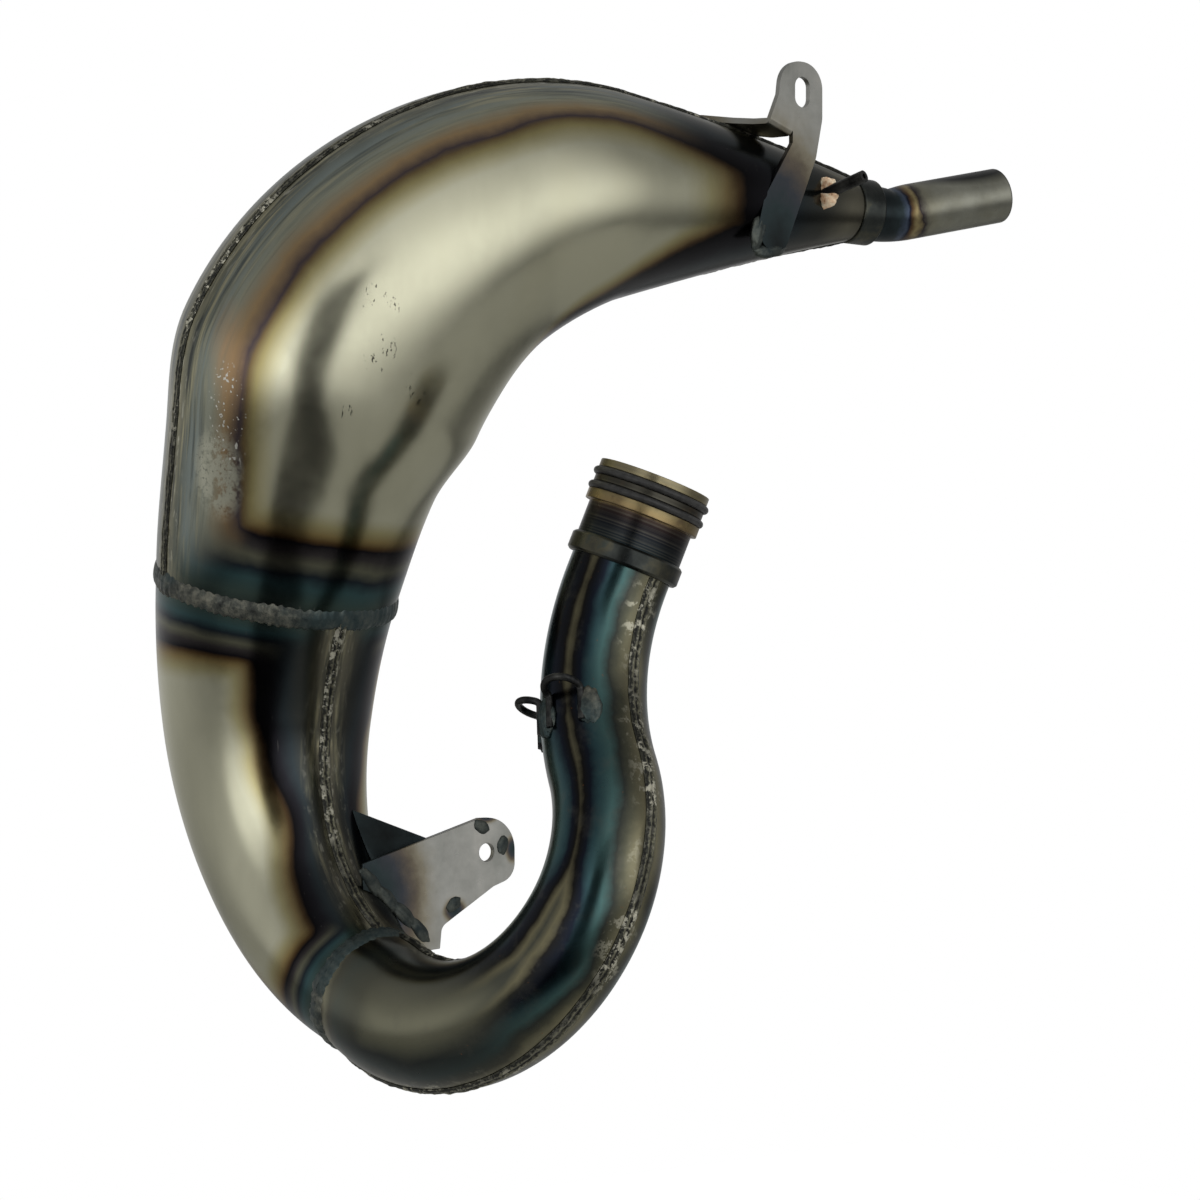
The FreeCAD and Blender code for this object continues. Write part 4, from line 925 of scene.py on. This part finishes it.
fitted("rear_bracket_plate", "rear_bracket", rear_steel, 0.35)
fitted("front_bracket_near_plate", "front_bracket_near_sheet", front_steel, 0.25)
fitted("front_bracket_far_plate", "front_bracket_far_sheet", far_plate_painted_shade, 0.25)
fitted("near_hook", "spring_hook_near", rod_steel)
fitted("far_hook", "spring_hook_far", rod_steel)
fitted("tap_tube", "pressure_tap", tap_steel, 0.2)

HOOK_DISTANCE = 71.0
HOOK_SHARE = (HOOK_DISTANCE - 10) / 90.5


def hook_puddles():
    """The four puddles that hold the hooks' legs."""
    mesh = bmesh.new()
    place, wide, thick = header.at(HOOK_DISTANCE)
    surface = wide / MM + 1.2
    for number, (around, side) in enumerate(((260, 1), (260, -1), (318, 1), (318, -1))):
        reach = math.degrees(math.asin(11.2 / surface)) * side
        spot = place @ turn("Z", around + reach) @ shift(x=surface - 1, z=7)
        blob(mesh, spot @ turn("Y", 90), (8.6, 5.4, 2.8), 0.9, number * 3 + 1)
    return finished("hook_welds", outward(mesh), weld, "spring_hook_welds", soften=70)


hook_puddles()


def tap_patch():
    """The brazing metal round the tap's foot."""
    mesh = bmesh.new()
    place = belly.end @ shift(z=-41) @ turn("Z", 236) @ shift(y=4.5) @ turn("Y", 70)
    along = belly.length - 41
    surface = belly.at(along)[1] / MM
    blob(mesh, place @ shift(z=surface - 0.5), (2.9, 8.0, 6.8), 0.8, 5)
    return finished("tap_solder", outward(mesh), braze, "tap_braze", soften=70)


tap_patch()


def bracket_welds():
    """Puddles at the brackets' feet and tacks round the front bracket's ear."""
    mesh = bmesh.new()
    for number, (x, y, z, lean, radii) in enumerate((
        (108.5, 60.4, 121, 78, (9, 4.4, 2.4)), (116, 60.4, 113, 12, (9.5, 3.8, 2.2)),
        (-15, 112, -158, -24, (4.6, 3.0, 0.6)), (-3, 112, -167, 80, (4.6, 3.0, 0.6)),
        (-30.5, 112, -193, 36, (4.6, 3.0, 0.6)),
        (-75, 112.2, -181, -50, (9, 3.2, 0.9)), (-67, 112.2, -188.5, -46, (9.5, 3.4, 1.0)),
        (-58, 112.2, -196.5, -42, (9, 3.6, 1.0)), (-49.5, 112.2, -203.5, -46, (8, 3.2, 0.9)),
    )):
        place = shift(x, y, z) @ turn("X", 90) @ turn("Z", lean)
        blob(mesh, place, radii, 0.7, number * 5 + 2)
    return finished("bracket_weld_puddles", outward(mesh), puddle, None, soften=70)


bracket_welds()


# Floor, light and camera

floor_mesh = bmesh.new()
bmesh.ops.create_grid(floor_mesh, x_segments=1, y_segments=1, size=1.4)
bmesh.ops.translate(floor_mesh, verts=floor_mesh.verts, vec=(0, 0, -0.62))
floor_data = bpy.data.meshes.new("floor")
floor_mesh.to_mesh(floor_data)
floor_mesh.free()
floor = bpy.data.objects.new("floor", floor_data)
bpy.context.scene.collection.objects.link(floor)


def lay_floor():
    """Pale floor that the camera sees nearly as bright as the background, and the metal sees darker."""
    paint = bpy.data.materials.new("floor_paint")
    paint.use_nodes = True
    floor_data.materials.append(paint)
    nodes, links = paint.node_tree.nodes, paint.node_tree.links
    shader = nodes["Principled BSDF"]
    tone = nodes.new("ShaderNodeMix")
    tone.data_type = "RGBA"
    tone.inputs[6].default_value = (0.82, 0.82, 0.81, 1)
    tone.inputs[7].default_value = (0.36, 0.36, 0.35, 1)
    links.new(tone.outputs[2], shader.inputs["Base Color"])
    shader.inputs["Roughness"].default_value = 0.9
    shader.inputs["Emission Color"].default_value = (1, 1, 1, 1)
    path = nodes.new("ShaderNodeLightPath")
    links.new(path.outputs["Is Glossy Ray"], tone.inputs[0])
    seen = nodes.new("ShaderNodeMath")
    seen.operation = "MAXIMUM"
    links.new(path.outputs["Is Camera Ray"], seen.inputs[0])
    links.new(path.outputs["Is Transmission Ray"], seen.inputs[1])
    glow = nodes.new("ShaderNodeMath")
    glow.operation = "MULTIPLY"
    glow.inputs[1].default_value = FLOOR_GLOW
    links.new(seen.outputs[0], glow.inputs[0])
    links.new(glow.outputs[0], shader.inputs["Emission Strength"])


FLOOR_GLOW = 0.55
lay_floor()


def lay_world():
    """White behind the object; a soft studio round it, darker where the camera stands."""
    world = bpy.data.worlds.new("studio")
    bpy.context.scene.world = world
    world.use_nodes = True
    nodes, links = world.node_tree.nodes, world.node_tree.links
    back = nodes["Background"]
    coords = nodes.new("ShaderNodeTexCoord").outputs["Generated"]

    def dot(direction):
        made = nodes.new("ShaderNodeVectorMath")
        made.operation = "DOT_PRODUCT"
        made.inputs[1].default_value = direction
        links.new(coords, made.inputs[0])
        return made.outputs["Value"]

    def calc(operation, first, second):
        made = nodes.new("ShaderNodeMath")
        made.operation = operation
        for socket, source in zip(made.inputs, (first, second)):
            if isinstance(source, (int, float)):
                socket.default_value = source
            else:
                links.new(source, socket)
        return made.outputs[0]

    def fade(source, low, high, out_low, out_high):
        made = nodes.new("ShaderNodeMapRange")
        made.interpolation_type = "SMOOTHSTEP"
        for key, number in (
            ("From Min", low), ("From Max", high), ("To Min", out_low), ("To Max", out_high)
        ):
            made.inputs[key].default_value = number
        links.new(source, made.inputs["Value"])
        return made.outputs["Result"]

    toward = Vector((-0.6, -0.8, 0))
    right = Vector((0.8, -0.6, 0))

    def heading(angle):
        """Level direction turned to the camera's right by an angle."""
        return toward * math.cos(math.radians(angle)) + right * math.sin(math.radians(angle))

    bright = fade(dot(heading(26)), 0.50, 0.93, 0.0, 0.85)
    strip = fade(dot(heading(-28)), 0.90, 0.98, 0.0, 0.7)
    dim = fade(dot(heading(115)), 0.25, 0.80, 0.0, -0.14)
    above = fade(dot(Vector((0, 0, 1))), 0.04, 0.5, 1.0, 0.66)
    below = fade(dot(Vector((0, 0, 1))), -0.42, -0.04, 0.22, 1.0)
    level = calc("ADD", calc("ADD", calc("ADD", bright, strip), dim), 0.52)
    level = calc("MULTIPLY", level, calc("MULTIPLY", above, below))
    path = nodes.new("ShaderNodeLightPath")
    seen = calc("MAXIMUM", path.outputs["Is Camera Ray"], path.outputs["Is Transmission Ray"])
    glossy = calc("MULTIPLY", path.outputs["Is Glossy Ray"], level)
    plain = calc("MULTIPLY", calc("SUBTRACT", 1.0, path.outputs["Is Glossy Ray"]), 0.55)
    other = calc("MULTIPLY", calc("SUBTRACT", 1.0, seen), calc("ADD", glossy, plain))
    links.new(calc("ADD", seen, other), back.inputs["Strength"])
    back.inputs["Color"].default_value = (1, 1, 1, 1)


lay_world()


def lamp(name, spot, aim, size, power):
    """A soft square lamp."""
    data = bpy.data.lights.new(name, "AREA")
    data.shape = "SQUARE"
    data.size = size
    data.energy = power
    light = bpy.data.objects.new(name, data)
    bpy.context.scene.collection.objects.link(light)
    light.location = spot
    light.visible_glossy = False
    light.rotation_euler = (Vector(aim) - Vector(spot)).to_track_quat("-Z", "Y").to_euler()
    return light


def dark_card():
    """A black card behind and below the camera, out of every view, that gives the metal its dark band."""
    mesh = bmesh.new()
    bmesh.ops.create_grid(mesh, x_segments=1, y_segments=1, size=0.5)
    bmesh.ops.scale(mesh, verts=mesh.verts, vec=(CARD_WIDTH, CARD_HEIGHT, 1))
    bmesh.ops.rotate(mesh, verts=mesh.verts, cent=(0, 0, 0), matrix=Matrix.Rotation(math.pi / 2, 3, "X"))
    foot = min(mesh.edges, key=lambda edge: sum(vert.co.z for vert in edge.verts))
    grown = bmesh.ops.extrude_edge_only(mesh, edges=[foot])["geom"]
    ends = [item for item in grown if isinstance(item, bmesh.types.BMVert)]
    bmesh.ops.translate(mesh, verts=ends, vec=(0, CARD_FOOT, 0))
    bmesh.ops.rotate(
        mesh, verts=mesh.verts, cent=(0, 0, 0), matrix=Matrix.Rotation(math.atan2(-0.6, 0.8), 3, "Z")
    )
    bmesh.ops.translate(mesh, verts=mesh.verts, vec=CARD_MIDDLE)
    data = bpy.data.meshes.new("dark_card")
    mesh.to_mesh(data)
    mesh.free()
    card = bpy.data.objects.new("dark_card", data)
    bpy.context.scene.collection.objects.link(card)
    card.visible_camera = False
    card.visible_diffuse = False
    card.visible_shadow = False
    felt = bpy.data.materials.new("card_felt")
    felt.use_nodes = True
    felt.node_tree.nodes["Principled BSDF"].inputs["Base Color"].default_value = (0.02, 0.02, 0.02, 1)
    felt.node_tree.nodes["Principled BSDF"].inputs["Roughness"].default_value = 1.0
    data.materials.append(felt)


CARD_WIDTH = 0.62
CARD_HEIGHT = 1.15
CARD_FOOT = 1.1
CARD_MIDDLE = (-1.06, -1.22, 0.0)
dark_card()

lamp("key_lamp", (0.9, -1.7, 1.2), (0.05, 0.05, 0), 1.2, 16)
lamp("fill_lamp", (-1.7, 0.1, 0.9), (0.05, 0.05, 0), 1.2, 9)
lamp("top_lamp", (0.4, 0.6, 1.9), (0.05, 0.05, 0), 1.0, 10)

camera_data = bpy.data.cameras.new("camera")
camera_data.lens = 96.15
camera_data.sensor_width = 36
camera = bpy.data.objects.new("camera", camera_data)
camera.location = (-0.8618, -1.1086, -0.0530)
camera.rotation_euler = (math.pi / 2, 0, math.atan2(-0.6, 0.8))
bpy.context.scene.collection.objects.link(camera)
bpy.context.scene.camera = camera
bpy.context.scene.view_settings.view_transform = "Standard"

bpy.context.view_layer.update()
